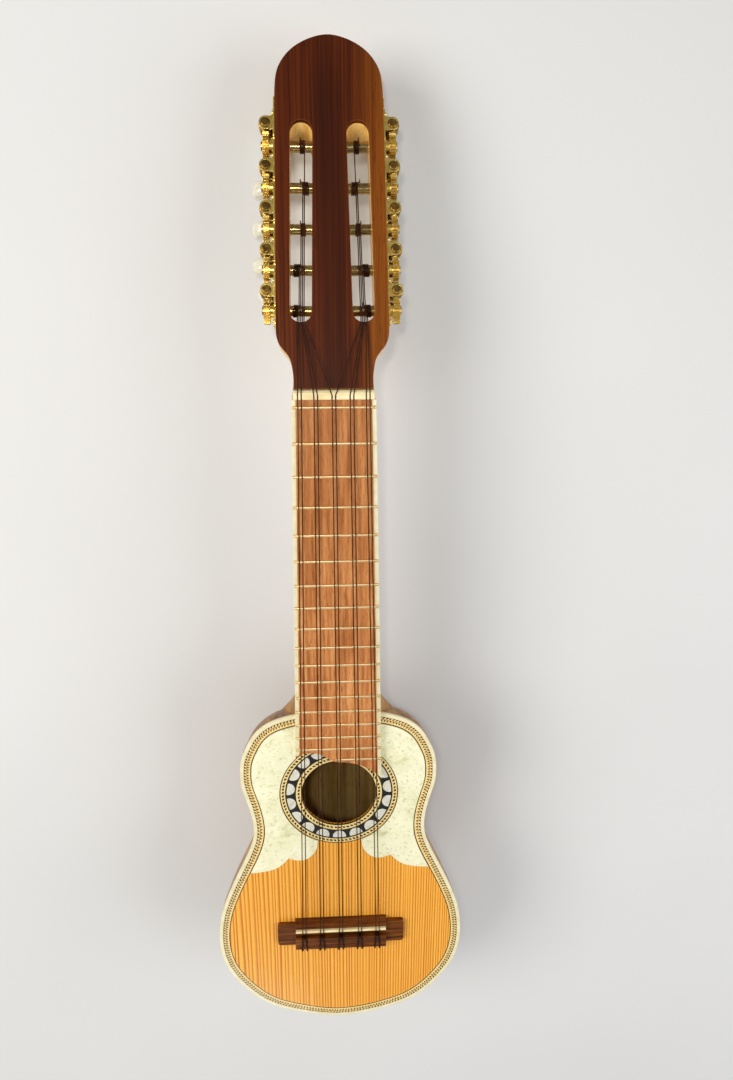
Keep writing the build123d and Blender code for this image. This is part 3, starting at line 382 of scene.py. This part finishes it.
def inlay_wood(name, dark, light):
    """Thin lines and dashes of the inlays."""
    mat = Shader(name)
    cloud = mat.noise(mat.coords, scale=300.0, detail=4.0)
    fibre = mat.noise(mat.mapping(scale=(1400, 300, 600)), detail=2.0)
    color = mat.ramp(cloud, (0.3, dark), (0.7, light))
    return mat.surface(
        color=mat.tint(color, dark, by=fibre, span=(0.5, 0.75), amount=0.3), rough=0.32,
        normal=mat.bump(fibre, strength=0.08, depth=0.00004), coat=0.4, coat_rough=0.1)


# ------------------------------------------------------------------ pale and dark plates
def cream(name, dark, light):
    mat = Shader(name)
    cloud = mat.noise(mat.coords, scale=160.0, detail=4.0)
    fibre = mat.noise(mat.mapping(scale=(700, 60, 700)), detail=2.0)
    color = mat.ramp(cloud, (0.3, dark), (0.7, light))
    color = mat.tint(color, srgb(214, 196, 140), by=fibre, span=(0.6, 0.8), amount=0.25)
    return mat.surface(
        color=color, rough=mat.remap(cloud, span=(0.3, 0.7), to=(0.28, 0.42)),
        normal=mat.bump(cloud, strength=0.05, depth=0.00005, normal=mat.bevel(radius=0.0004)),
        coat=0.4, coat_rough=0.12, subsurface=0.08)


def bone():
    mat = Shader("bone")
    cloud = mat.noise(mat.mapping(scale=(80, 300, 300)), detail=4.0)
    color = mat.ramp(cloud, (0.3, srgb(228, 204, 148)), (0.55, srgb(244, 226, 176)),
                     (0.8, srgb(252, 240, 202)))
    bevel = mat.bevel(radius=0.0005)
    return mat.surface(
        color=mat.wear(color, srgb(196, 168, 118), bevel, amount=0.12), rough=0.34,
        normal=mat.bump(cloud, strength=0.1, depth=0.00005, normal=bevel),
        subsurface=0.15, coat=0.2, coat_rough=0.2)


def pearl_plate():
    """Pickguards: pale cream plate, mottled, with a soft pearly break-up."""
    mat = Shader("pearl_plate")
    mottle = mat.noise(mat.coords, scale=70.0, detail=6.0, rough=0.65, distort=0.6)
    specks = mat.noise(mat.coords, scale=420.0, detail=4.0, rough=0.6)
    flakes = mat.cells(mat.mapping(), scale=55.0)
    color = mat.ramp(mottle, (0.28, srgb(208, 205, 156)), (0.44, srgb(238, 235, 194)),
                     (0.60, srgb(248, 245, 210)), (0.8, srgb(228, 229, 196)))
    color = mat.tint(color, srgb(222, 226, 196), by=flakes, span=(0.0, 1.0), amount=0.16)
    color = mat.tint(color, srgb(198, 194, 146), by=specks, span=(0.56, 0.68), amount=0.75)
    bevel = mat.bevel(radius=0.0003)
    return mat.surface(
        color=mat.wear(color, srgb(160, 128, 70), bevel, amount=0.5),
        rough=mat.remap(mottle, span=(0.3, 0.7), to=(0.24, 0.40)),
        normal=mat.bump(specks, strength=0.06, depth=0.00004, normal=bevel),
        coat=0.5, coat_rough=0.1, sheen=0.05)


def pearl(name, warm=False):
    mat = Shader(name)
    flakes = mat.cells(mat.coords, scale=260.0)
    waves = mat.noise(mat.coords, scale=190.0, detail=4.0, distort=2.0)
    color = mat.ramp(waves, (0.25, srgb(164, 162, 144)), (0.42, srgb(208, 205, 186)),
                     (0.58, srgb(234, 230, 210)), (0.78, srgb(184, 186, 174)))
    drift = mat.noise(mat.coords, scale=34.0, detail=1.0)
    hue = mat.ramp(drift, (0.3, srgb(216, 208, 178)), (0.5, srgb(222, 220, 206)),
                   (0.7, srgb(198, 202, 200)))
    color = mat.mix(0.35, color, hue)
    if warm:
        color = mat.mix(0.35, color, srgb(244, 236, 204))
    return mat.surface(
        color=color, rough=mat.remap(flakes, span=(0, 1), to=(0.14, 0.32)),
        normal=mat.bump(waves, strength=0.10, depth=0.0001),
        coat=0.7, coat_rough=0.05, spec=0.7)


def rosette_black():
    mat = Shader("rosette_black")
    cloud = mat.noise(mat.coords, scale=500.0, detail=4.0)
    return mat.surface(
        color=mat.ramp(cloud, (0.3, srgb(7, 6, 3)), (0.7, srgb(22, 19, 11))), rough=0.32,
        normal=mat.bump(cloud, strength=0.08, depth=0.00005), coat=0.5, coat_rough=0.08)


# ------------------------------------------------------------------ metal and string
def metal(name, dark, light, rough, tarnish=srgb(110, 74, 20), tarnish_amount=0.35,
          scale=300.0, edge=None, relief=0.06):
    """Tarnished metal; relief 0 leaves it flat, an edge colour brightens its edges."""
    mat = Shader(name)
    cloud = mat.noise(mat.coords, scale=scale, detail=5.0, rough=0.6)
    stain = mat.noise(mat.coords, scale=scale * 0.35)
    color = mat.ramp(cloud, (0.3, dark), (0.7, light))
    color = mat.tint(color, tarnish, by=stain, span=(0.52, 0.74), amount=tarnish_amount)
    shape = {}
    if relief:
        bevel = mat.bevel(radius=0.00035)
        if edge:
            color = mat.wear(color, edge, bevel, amount=0.6)
        shape["normal"] = mat.bump(cloud, strength=relief, depth=0.00005, normal=bevel)
    scratches = mat.noise(mat.mapping(scale=(2500, 300, 2500)), detail=2.0)
    roughness = mat.plus(mat.remap(cloud, span=(0.3, 0.7), to=rough),
                         mat.remap(scratches, span=(0.5, 0.8), to=(0.0, 0.12)))
    return mat.surface(color=color, metal=1.0, rough=roughness, **shape)


def string_nylon():
    """Dark string with fine ripples along y."""
    ripple_pitch = 0.00032
    mat = Shader("string_nylon")
    y = mat.split()[1]
    cloud = mat.noise(mat.mapping(scale=(300, 120, 300)))
    ripple = mat.math("SINE", mat.times(y, 2 * math.pi / ripple_pitch))
    color = mat.ramp(cloud, (0.3, srgb(28, 10, 1)), (0.6, srgb(54, 24, 5)),
                     (0.8, srgb(96, 50, 14)))
    return mat.surface(
        color=color, rough=0.36, normal=mat.bump(ripple, strength=0.25, depth=0.00003),
        spec=0.16, coat=0.0)


# keyed by the material slot names of the CAD record; the last four are for the inlays
MATERIALS = {
    "carved_wood": carved_wood(),
    "dark_veneer": head_veneer(),
    "spruce": spruce_top(),
    "brace_wood": brace_wood(),
    "cream_binding": cream("cream_binding", srgb(228, 216, 170), srgb(242, 233, 196)),
    "rosewood": fingerboard_wood(),
    "bone": bone(),
    "dark_rosewood": bridge_rosewood(),
    "pearl_plate": pearl_plate(),
    "pearl": pearl("moon_pearl"),
    "nylon": string_nylon(),
    "fret_brass": metal("fret_brass", srgb(238, 204, 144), srgb(248, 222, 172),
                        rough=(0.34, 0.40), tarnish_amount=0.10, scale=60.0, relief=0.0),
    "gold_metal": metal("gold_metal", srgb(228, 184, 80), srgb(248, 216, 122),
                        rough=(0.18, 0.30), tarnish=srgb(150, 100, 26), tarnish_amount=0.22,
                        edge=srgb(255, 240, 176)),
    "dark_steel": metal("roller_metal", srgb(132, 106, 62), srgb(196, 164, 104),
                        rough=(0.14, 0.22), tarnish=srgb(44, 30, 14)),
    "worm_metal": metal("worm_metal", srgb(104, 78, 36), srgb(168, 132, 66),
                        rough=(0.18, 0.34), tarnish=srgb(34, 24, 10), tarnish_amount=0.5),
    "pearl_button": pearl("button_pearl", warm=True),
    "purfling": cream("purfling_base", srgb(222, 204, 150), srgb(240, 228, 186)),
    "rosette_inlay": rosette_black(),
    "line_brown": inlay_wood("line_brown", srgb(158, 84, 14), srgb(196, 112, 30)),
    "line_dark": inlay_wood("line_dark", srgb(34, 20, 8), srgb(64, 38, 16)),
    "dash_dark": inlay_wood("dash_dark", srgb(16, 10, 2), srgb(34, 22, 8)),
    "rope_cream": cream("rope_cream", srgb(232, 202, 124), srgb(246, 222, 152)),
}


def dress_cad_nodes():
    """Give every CAD piece the material of its slot."""
    slots = {part["node"]: part["material_slot"] for part in frame["record"]["subparts"]}
    for name, obj in NODES.items():
        material = MATERIALS[slots[name]]
        if obj.material_slots:
            for slot in obj.material_slots:
                slot.material = material
        else:
            obj.data.materials.append(material)


dress_cad_nodes()


# ------------------------------------------------------------------ mesh helpers
def add_mesh(name, verts, faces, materials, body="instrument", indices=None, smooth=False):
    mesh = bpy.data.meshes.new(name)
    mesh.from_pydata([tuple(vert) for vert in verts], [], faces)
    for material in materials:
        mesh.materials.append(MATERIALS[material])
    if indices is not None:
        mesh.polygons.foreach_set("material_index", indices)
    if smooth:
        mesh.polygons.foreach_set("use_smooth", [True] * len(mesh.polygons))
    mesh.update()
    bm = bmesh.new()
    bm.from_mesh(mesh)
    bmesh.ops.recalc_face_normals(bm, faces=bm.faces)
    bm.to_mesh(mesh)
    bm.free()
    obj = bpy.data.objects.new(name, mesh)
    bpy.context.scene.collection.objects.link(obj)
    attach(obj, body)
    return obj


class Inlay:
    """Rings and small blocks that follow a curve, a function of (turn 0-1, offset in mm)."""

    def __init__(self, *materials):
        self.materials = materials
        self.verts, self.faces, self.indices = [], [], []

    def face(self, corners, material):
        self.faces.append(corners)
        self.indices.append(self.materials.index(material))

    def ring(self, curve, inner, outer, count, top, material):
        """Closed band with a flat top, walls and floor."""
        low = TOP - 0.0011
        base = len(self.verts)
        for k in range(count):
            a, b = curve(k / count, inner), curve(k / count, outer)
            self.verts += [(*a, low), (*a, top), (*b, top), (*b, low)]
        for k in range(count):
            here, there = base + 4 * k, base + 4 * ((k + 1) % count)
            for i in range(4):
                j = (i + 1) % 4
                self.face((here + i, here + j, there + j, there + i), material)

    def block(self, corners, material):
        """Dash with four corners, its top slightly crowned."""
        low, high, crown = TOP - 0.0003, TOP + 0.00003, 0.00001
        base = len(self.verts)
        self.verts += [(x, y, low) for x, y in corners]
        self.verts += [(x, y, high) for x, y in corners]
        self.verts.append((sum(x for x, y in corners) / 4, sum(y for x, y in corners) / 4,
                           high + crown))
        for i in range(4):
            j = (i + 1) % 4
            self.face((base + i, base + j, base + 4 + j, base + 4 + i), material)
            self.face((base + 4 + i, base + 4 + j, base + 8), material)
        self.face((base + 3, base + 2, base + 1, base), material)

    def build(self, name):
        return add_mesh(name, self.verts, self.faces, self.materials,
                        indices=self.indices)


INLAY_TOP = TOP + 0.00001


# ------------------------------------------------------------------ body rim
def flat_loops(node, height, tolerance=2e-5):
    """Boundary loops of the flat areas of a CAD piece at a height, as xy arrays."""
    mesh = NODES[node].data
    points = np.empty(len(mesh.vertices) * 3)
    mesh.vertices.foreach_get("co", points)
    points = points.reshape(-1, 3)
    uses = {}
    for polygon in mesh.polygons:
        face = tuple(polygon.vertices)
        if all(abs(points[i][2] - height) < tolerance for i in face):
            for a, b in zip(face, face[1:] + face[:1]):
                edge = (min(a, b), max(a, b))
                uses[edge] = uses.get(edge, 0) + 1
    neighbours = {}
    for (a, b), count in uses.items():
        if count == 1:
            neighbours.setdefault(a, []).append(b)
            neighbours.setdefault(b, []).append(a)
    loops, seen = [], set()
    for start in neighbours:
        if start in seen:
            continue
        loop = []
        ahead = [start]
        while ahead:
            seen.add(ahead[0])
            loop.append(ahead[0])
            ahead = [i for i in neighbours[loop[-1]] if i not in seen]
        loops.append(points[loop][:, :2])
    return loops


def perimeter(loop):
    return float(np.linalg.norm(np.roll(loop, -1, 0) - loop, axis=1).sum())


def resample(loop, count):
    """Evenly spaced points on a closed loop, and its length."""
    closed = np.vstack([loop, loop[:1]])
    steps = np.linalg.norm(np.diff(closed, axis=0), axis=1)
    reach = np.concatenate([[0], np.cumsum(steps)])
    places = np.linspace(0, reach[-1], count, endpoint=False)
    return np.column_stack([np.interp(places, reach, closed[:, k]) for k in (0, 1)]), reach[-1]


RIM_COUNT = 1400


def trace_rim():
    """Outer loop of the binding's top face: points, inward normals and length."""
    points, length = resample(max(flat_loops("body_binding", TOP), key=perimeter), RIM_COUNT)
    for _ in range(10):
        points = 0.5 * points + 0.25 * (np.roll(points, 1, 0) + np.roll(points, -1, 0))
    tangents = np.roll(points, -1, 0) - np.roll(points, 1, 0)
    tangents /= np.linalg.norm(tangents, axis=1)[:, None]
    normals = np.column_stack([-tangents[:, 1], tangents[:, 0]])
    if perimeter(points + normals * 0.003) > perimeter(points):
        normals = -normals
    return points, normals, length


RIM, RIM_NORMALS, RIM_LENGTH = trace_rim()


def rim_point(distance, inset):
    """Point at a distance along the rim in metres, drawn in by an inset in mm."""
    place = (distance / RIM_LENGTH * RIM_COUNT) % RIM_COUNT
    i = int(place)
    j = (i + 1) % RIM_COUNT
    part = place - i
    point = RIM[i] * (1 - part) + RIM[j] * part
    normal = RIM_NORMALS[i] * (1 - part) + RIM_NORMALS[j] * part
    return tuple(point + normal * (inset * MM))


# inset in mm of the inner and outer side of each line, material
PURFLING_BANDS = (
    (2.5, 2.68, "line_dark"), (2.68, 4.22, "rope_cream"), (4.22, 4.62, "line_brown"),
    (4.62, 6.86, "rope_cream"), (6.86, 7.5, "line_dark"),
)
# start and end inset, lean, pitch (mm), then width factors at the start and the end
PURFLING_DASHES = (
    (2.60, 3.86, 0.42, 2.34, 1.05, 0.80),
    (4.70, 5.86, 0.0, 2.22, 1.15, 0.35),
)
DASH_HALF_WIDTH = 0.00058


def build_purfling():
    inlay = Inlay("rope_cream", "line_brown", "line_dark", "dash_dark")
    for start, end, material in PURFLING_BANDS:
        inlay.ring(lambda turn, inset: rim_point(turn * RIM_LENGTH, inset),
                   start, end, RIM_COUNT, INLAY_TOP, material)
    for start, end, lean, pitch, start_width, end_width in PURFLING_DASHES:
        count = int(round(RIM_LENGTH / (pitch * MM)))
        shift = lean * MM
        for k in range(count):
            middle = (k + rng.uniform(-0.06, 0.06)) * RIM_LENGTH / count
            half = rng.uniform(0.90, 1.08) * DASH_HALF_WIDTH
            inlay.block([
                rim_point(middle - shift - start_width * half, start),
                rim_point(middle - shift + start_width * half, start),
                rim_point(middle + shift + end_width * half, end),
                rim_point(middle + shift - end_width * half, end),
            ], "dash_dark")
    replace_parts(inlay.build("purfling_inlay"), "body_purfling")


# ------------------------------------------------------------------ rosette
HOLE_CENTRE = (0.0, ZERO_FRET_Y - 0.2611)
ROSETTE_COUNT = 360
FIELD_INNER, FIELD_OUTER = 29.5, 35.9  # radii of the dark field, mm
# inner and outer radius (mm), material: two ropes with thin dark lines at both edges
ROPE_RINGS = (
    (25.25, 25.6, "line_dark"), (25.6, 29.2, "rope_cream"), (29.2, FIELD_INNER, "line_dark"),
    (FIELD_OUTER, 36.5, "line_dark"), (36.5, 39.6, "rope_cream"), (39.6, 40.2, "line_dark"),
)
# inner radius, outer radius, pitch (mm), share of the pitch filled
ROPE_DASHES = ((26.75, 28.05, 2.75, 0.62), (37.35, 38.75, 2.65, 0.60))
ROPE_LEAN = 0.35  # mm


def hole_point(angle, radius):
    """Point round the soundhole; radius in mm."""
    return (HOLE_CENTRE[0] + radius * MM * math.cos(angle),
            HOLE_CENTRE[1] + radius * MM * math.sin(angle))


def hole_curve(turn, radius):
    return hole_point(2 * math.pi * turn, radius)


def build_rosette():
    ropes = Inlay("rope_cream", "line_dark")
    for inner, outer, material in ROPE_RINGS:
        ropes.ring(hole_curve, inner, outer, ROSETTE_COUNT, INLAY_TOP, material)
    for inner, outer, pitch, share in ROPE_DASHES:
        middle = (inner + outer) / 2
        count = int(round(2 * math.pi * middle / pitch))
        lean = ROPE_LEAN / middle
        for k in range(count):
            start = 2 * math.pi * (k + rng.uniform(-0.06, 0.06)) / count
            width = 2 * math.pi / count * (share + rng.uniform(-0.06, 0.06))
            ropes.block([
                hole_point(start - lean, inner), hole_point(start + width - lean, inner),
                hole_point(start + width + lean, outer), hole_point(start + lean, outer),
            ], "line_dark")
    ropes_object = ropes.build("rosette_ropes")
    # dark field between the ropes, its top just under the soundboard face
    field = Inlay("rosette_inlay")
    field.ring(hole_curve, FIELD_INNER, FIELD_OUTER, ROSETTE_COUNT, TOP - 0.00004,
               "rosette_inlay")
    field.build("rosette_field")
    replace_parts(ropes_object, "rosette_rings")


# ------------------------------------------------------------------ strings
def tube(points, radius, sides=10):
    """Round wire along a run of points, with capped ends: its verts and faces."""
    verts, faces = [], []
    count = len(points)
    up = None
    for k, point in enumerate(points):
        along = (points[min(k + 1, count - 1)] - points[max(k - 1, 0)]).normalized()
        if up is None:
            up = along.orthogonal().normalized()
        up = (up - along * up.dot(along)).normalized()
        side = along.cross(up)
        for j in range(sides):
            angle = 2 * math.pi * j / sides
            verts.append(point + (up * math.cos(angle) + side * math.sin(angle)) * radius)
    for k in range(count - 1):
        here, there = k * sides, (k + 1) * sides
        for i in range(sides):
            j = (i + 1) % sides
            faces.append((here + i, here + j, there + j, there + i))
    faces.append(tuple(range(sides - 1, -1, -1)))
    faces.append(tuple((count - 1) * sides + j for j in range(sides)))
    return verts, faces


def smooth_path(points, steps):
    """Catmull-Rom curve through the points, with some steps between each two."""
    knots = [points[0] + (points[0] - points[1])] + points
    knots.append(points[-1] + (points[-1] - points[-2]))
    path = []
    for p0, p1, p2, p3 in zip(knots, knots[1:], knots[2:], knots[3:]):
        for k in range(steps):
            t = k / steps
            path.append(0.5 * ((2 * p1) + (p2 - p0) * t
                               + (2 * p0 - 5 * p1 + 4 * p2 - p3) * t * t
                               + (3 * p1 - p0 - 3 * p2 + p3) * t ** 3))
    path.append(points[-1])
    return path


def build_wires(name, paths, radius, body):
    verts, faces = [], []
    for path in paths:
        base = len(verts)
        tube_verts, tube_faces = tube(path, radius)
        verts += tube_verts
        faces += [tuple(i + base for i in face) for face in tube_faces]
    add_mesh(name, verts, faces, ["nylon"], body=body, smooth=True)


COURSES = (-26.0, -13.5, 0.0, 13.5, 26.0)  # course centres across the bridge, mm
STRING_OFFSET = 1.15  # each string from its course centre, mm
TIE_START = 387.3  # where the tie begins, mm from the zero fret
TIE_STRETCH = 1.036  # scale on the second column below
TIE_TOP = 7.2 + 0.36  # height of the wire where it lies over the block, mm
# columns, mm: away from the course centre, towards the tail, height over the soundboard
TIE_LOOP = (
    (0.0, 0.0, 4.7), (0.0, 0.9, 4.75), (0.1, 1.15, 5.6), (0.25, 0.4, 6.8),
    (0.45, -1.4, TIE_TOP), (0.55, -5.6, TIE_TOP), (0.55, -9.4, TIE_TOP),
    (0.5, -10.6, TIE_TOP - 0.7), (0.4, -11.0, 5.6), (0.1, -10.9, 4.15),
    (-0.5, -10.9, 4.5), (-0.7, -10.8, 5.8), (-0.6, -10.3, TIE_TOP + 0.05),
    (-0.35, -8.6, TIE_TOP), (-0.1, -6.1, TIE_TOP + 0.05), (0.15, -4.4, TIE_TOP + 0.55),
    (0.75, -3.4, TIE_TOP + 0.2),
)
# the loose end, which strays a little sideways from string to string
TIE_END = (
    (1.0, -2.4, TIE_TOP + 0.05), (0.9, -0.3, TIE_TOP - 0.2),
    (0.8, 1.0, TIE_TOP - 1.4), (0.85, 1.7, TIE_TOP - 2.8),
)


def build_ties():
    """String ends tied over the block behind the saddle."""
    paths = []
    for course in COURSES:
        for side in (-1, 1):
            string = course + side * STRING_OFFSET
            stray = rng.uniform(-0.15, 0.15)
            points = [
                board_point(string + away * side + shift, TIE_START + along * TIE_STRETCH, height)
                for rows, shift in ((TIE_LOOP, 0.0), (TIE_END, stray))
                for away, along, height in rows
            ]
            paths.append(smooth_path(points, steps=6))
    build_wires("string_ties", paths, 0.00030, "instrument")


# The head's sides and slots narrow towards the tip. Each line is given by two
# stations, mm: distance along the head, distance from the centre line.
SIDE_LINE = ((34.0, 32.1), (160.0, 30.1))
SLOT_LINE = ((37.7, 18.0), (147.8, 15.6))
SIDE_TILT = math.atan2(SIDE_LINE[0][1] - SIDE_LINE[1][1], SIDE_LINE[1][0] - SIDE_LINE[0][0])
TUNERS_PER_SIDE = 5
FIRST_TUNER, LAST_TUNER = 45.8, 136.9  # mm along the head
TUNER_PITCH = (LAST_TUNER - FIRST_TUNER) / (TUNERS_PER_SIDE - 1)
ROLLER_DEPTH = 9.0  # roller axis below the head frame, mm
STRING_HOLE = -14.0  # along the roller from the head's side, mm
COIL_STEP = 0.66  # advance per turn, mm
COIL_POINTS = 26  # per turn


def line_at(line, distance):
    (start, first), (end, last) = line
    return first + (last - first) * (distance - start) / (end - start)


def roller_point(side, distance, x, radius, angle):
    """Point round a roller, x outwards along its axis from the head's side; mm to world."""
    out, turn = math.cos(SIDE_TILT), math.sin(SIDE_TILT)
    y, z = radius * math.cos(angle), radius * math.sin(angle)
    return head_point(side * (line_at(SIDE_LINE, distance) + out * x - turn * y),
                      distance + turn * x + out * y, -ROLLER_DEPTH + z)


def winding_path(side, index):
    distance = FIRST_TUNER + TUNER_PITCH * index
    # where the string comes on: fanned out about the slot's centre line
    start = (line_at(SLOT_LINE, distance) + (2 - index) * 0.95
             - line_at(SIDE_LINE, distance))
    step = COIL_STEP if STRING_HOLE > start else -COIL_STEP
    if abs(STRING_HOLE - start) <= 2.2:  # too close to the hole: wind away from it
        step = -step
    turns = 4 if index % 2 == 0 else 5
    count = turns * COIL_POINTS
    points = []
    for k in range(0, count + 1, 2):
        t = k / count
        points.append(roller_point(side, distance, start + step * turns * t,
                                   3.34 + 0.02 * math.sin(9 * t),
                                   math.pi / 2 - 2 * math.pi * turns * t))
    # the end tucks back across the coils to the hole
    stop = start + step * turns
    angle = math.pi / 2 - 2 * math.pi * turns
    for part in (0.15, 0.35, 0.6, 0.85, 1.0):
        points.append(roller_point(side, distance, stop + (STRING_HOLE - stop) * part,
                                   3.4 + 0.75 * math.sin(math.pi * part), angle - 0.9 * part))
    points.append(roller_point(side, distance, STRING_HOLE, 4.9, angle - 1.1))
    return smooth_path(points, steps=2)


def build_windings():
    for side, tag in ((-1, "left"), (1, "right")):
        for i in range(TUNERS_PER_SIDE):
            name = "%s_%d" % (tag, i + 1)
            build_wires("winding_" + name, [winding_path(side, i)], 0.00031,
                        "roller_body_" + name)


build_purfling()
build_rosette()
build_ties()
build_windings()


# ------------------------------------------------------------------ camera
def build_camera():
    """Camera over the head end, looking down and towards the tail."""
    turn = (Matrix.Rotation(-0.3126, 3, "X") @ Matrix.Rotation(-0.0512, 3, "Y")
            @ Matrix.Rotation(-0.0183, 3, "Z"))
    # from the zero fret, along the camera's own right, up and back
    offset = Vector((0.0170234, -0.0791275, 0.4460016))
    place = Vector((0, ZERO_FRET_Y, FRET_TOP)) + turn @ offset
    data = bpy.data.cameras.new("camera")
    camera = bpy.data.objects.new("camera", data)
    bpy.context.scene.collection.objects.link(camera)
    camera.matrix_world = Matrix.Translation(place) @ turn.to_4x4()
    data.sensor_width = 36.0
    data.lens = 26.1103333
    data.shift_x = 0.00237963
    data.shift_y = 0.00622222
    data.clip_start = 0.01
    data.clip_end = 20
    bpy.context.scene.camera = camera


build_camera()
bpy.context.scene.view_settings.view_transform = "Standard"


# ------------------------------------------------------------------ stage
def build_floor():
    mat = Shader("floor")
    cloud = mat.noise(mat.coords, scale=3.0, detail=2.0)
    grey = mat.ramp(cloud, (0.3, (0.70, 0.70, 0.69, 1.0)), (0.7, (0.74, 0.74, 0.73, 1.0)))
    material = mat.surface(color=grey, rough=0.8)
    bm = bmesh.new()
    bmesh.ops.create_grid(bm, x_segments=2, y_segments=2, size=4.0)
    mesh = bpy.data.meshes.new("floor")
    bm.to_mesh(mesh)
    bm.free()
    mesh.materials.append(material)
    floor = bpy.data.objects.new("floor", mesh)
    bpy.context.scene.collection.objects.link(floor)
    floor.location.z = -0.0002


def area_light(name, place, target, size, power, color):
    light = bpy.data.lights.new(name, "AREA")
    light.energy = power
    light.color = color
    light.size = size
    obj = bpy.data.objects.new(name, light)
    bpy.context.scene.collection.objects.link(obj)
    obj.location = place
    aim = Vector(target) - Vector(place)
    obj.rotation_euler = aim.to_track_quat("-Z", "Y").to_euler()


def build_world():
    world = bpy.data.worlds.new("world")
    bpy.context.scene.world = world
    world.use_nodes = True
    background = world.node_tree.nodes["Background"]
    background.inputs["Color"].default_value = (0.86, 0.88, 0.92, 1)
    background.inputs["Strength"].default_value = 0.35


build_floor()
area_light("key", place=(-1.15, 0.55, 1.15), target=(0, 0.15, 0.05), size=0.9, power=17.5,
           color=(1.0, 0.96, 0.90))
area_light("fill", place=(1.25, 0.1, 1.0), target=(0, 0.2, 0.05), size=1.2, power=12.0,
           color=(0.98, 0.98, 1.0))
area_light("back", place=(-0.6, -1.5, 0.9), target=(0, 0.1, 0.0), size=1.0, power=7.0,
           color=(1.0, 0.97, 0.93))
area_light("lamp", place=(-0.05, 0.47, 0.66), target=(0, 0.2, 0.08), size=0.035, power=0.8,
           color=(1.0, 0.95, 0.86))
build_world()
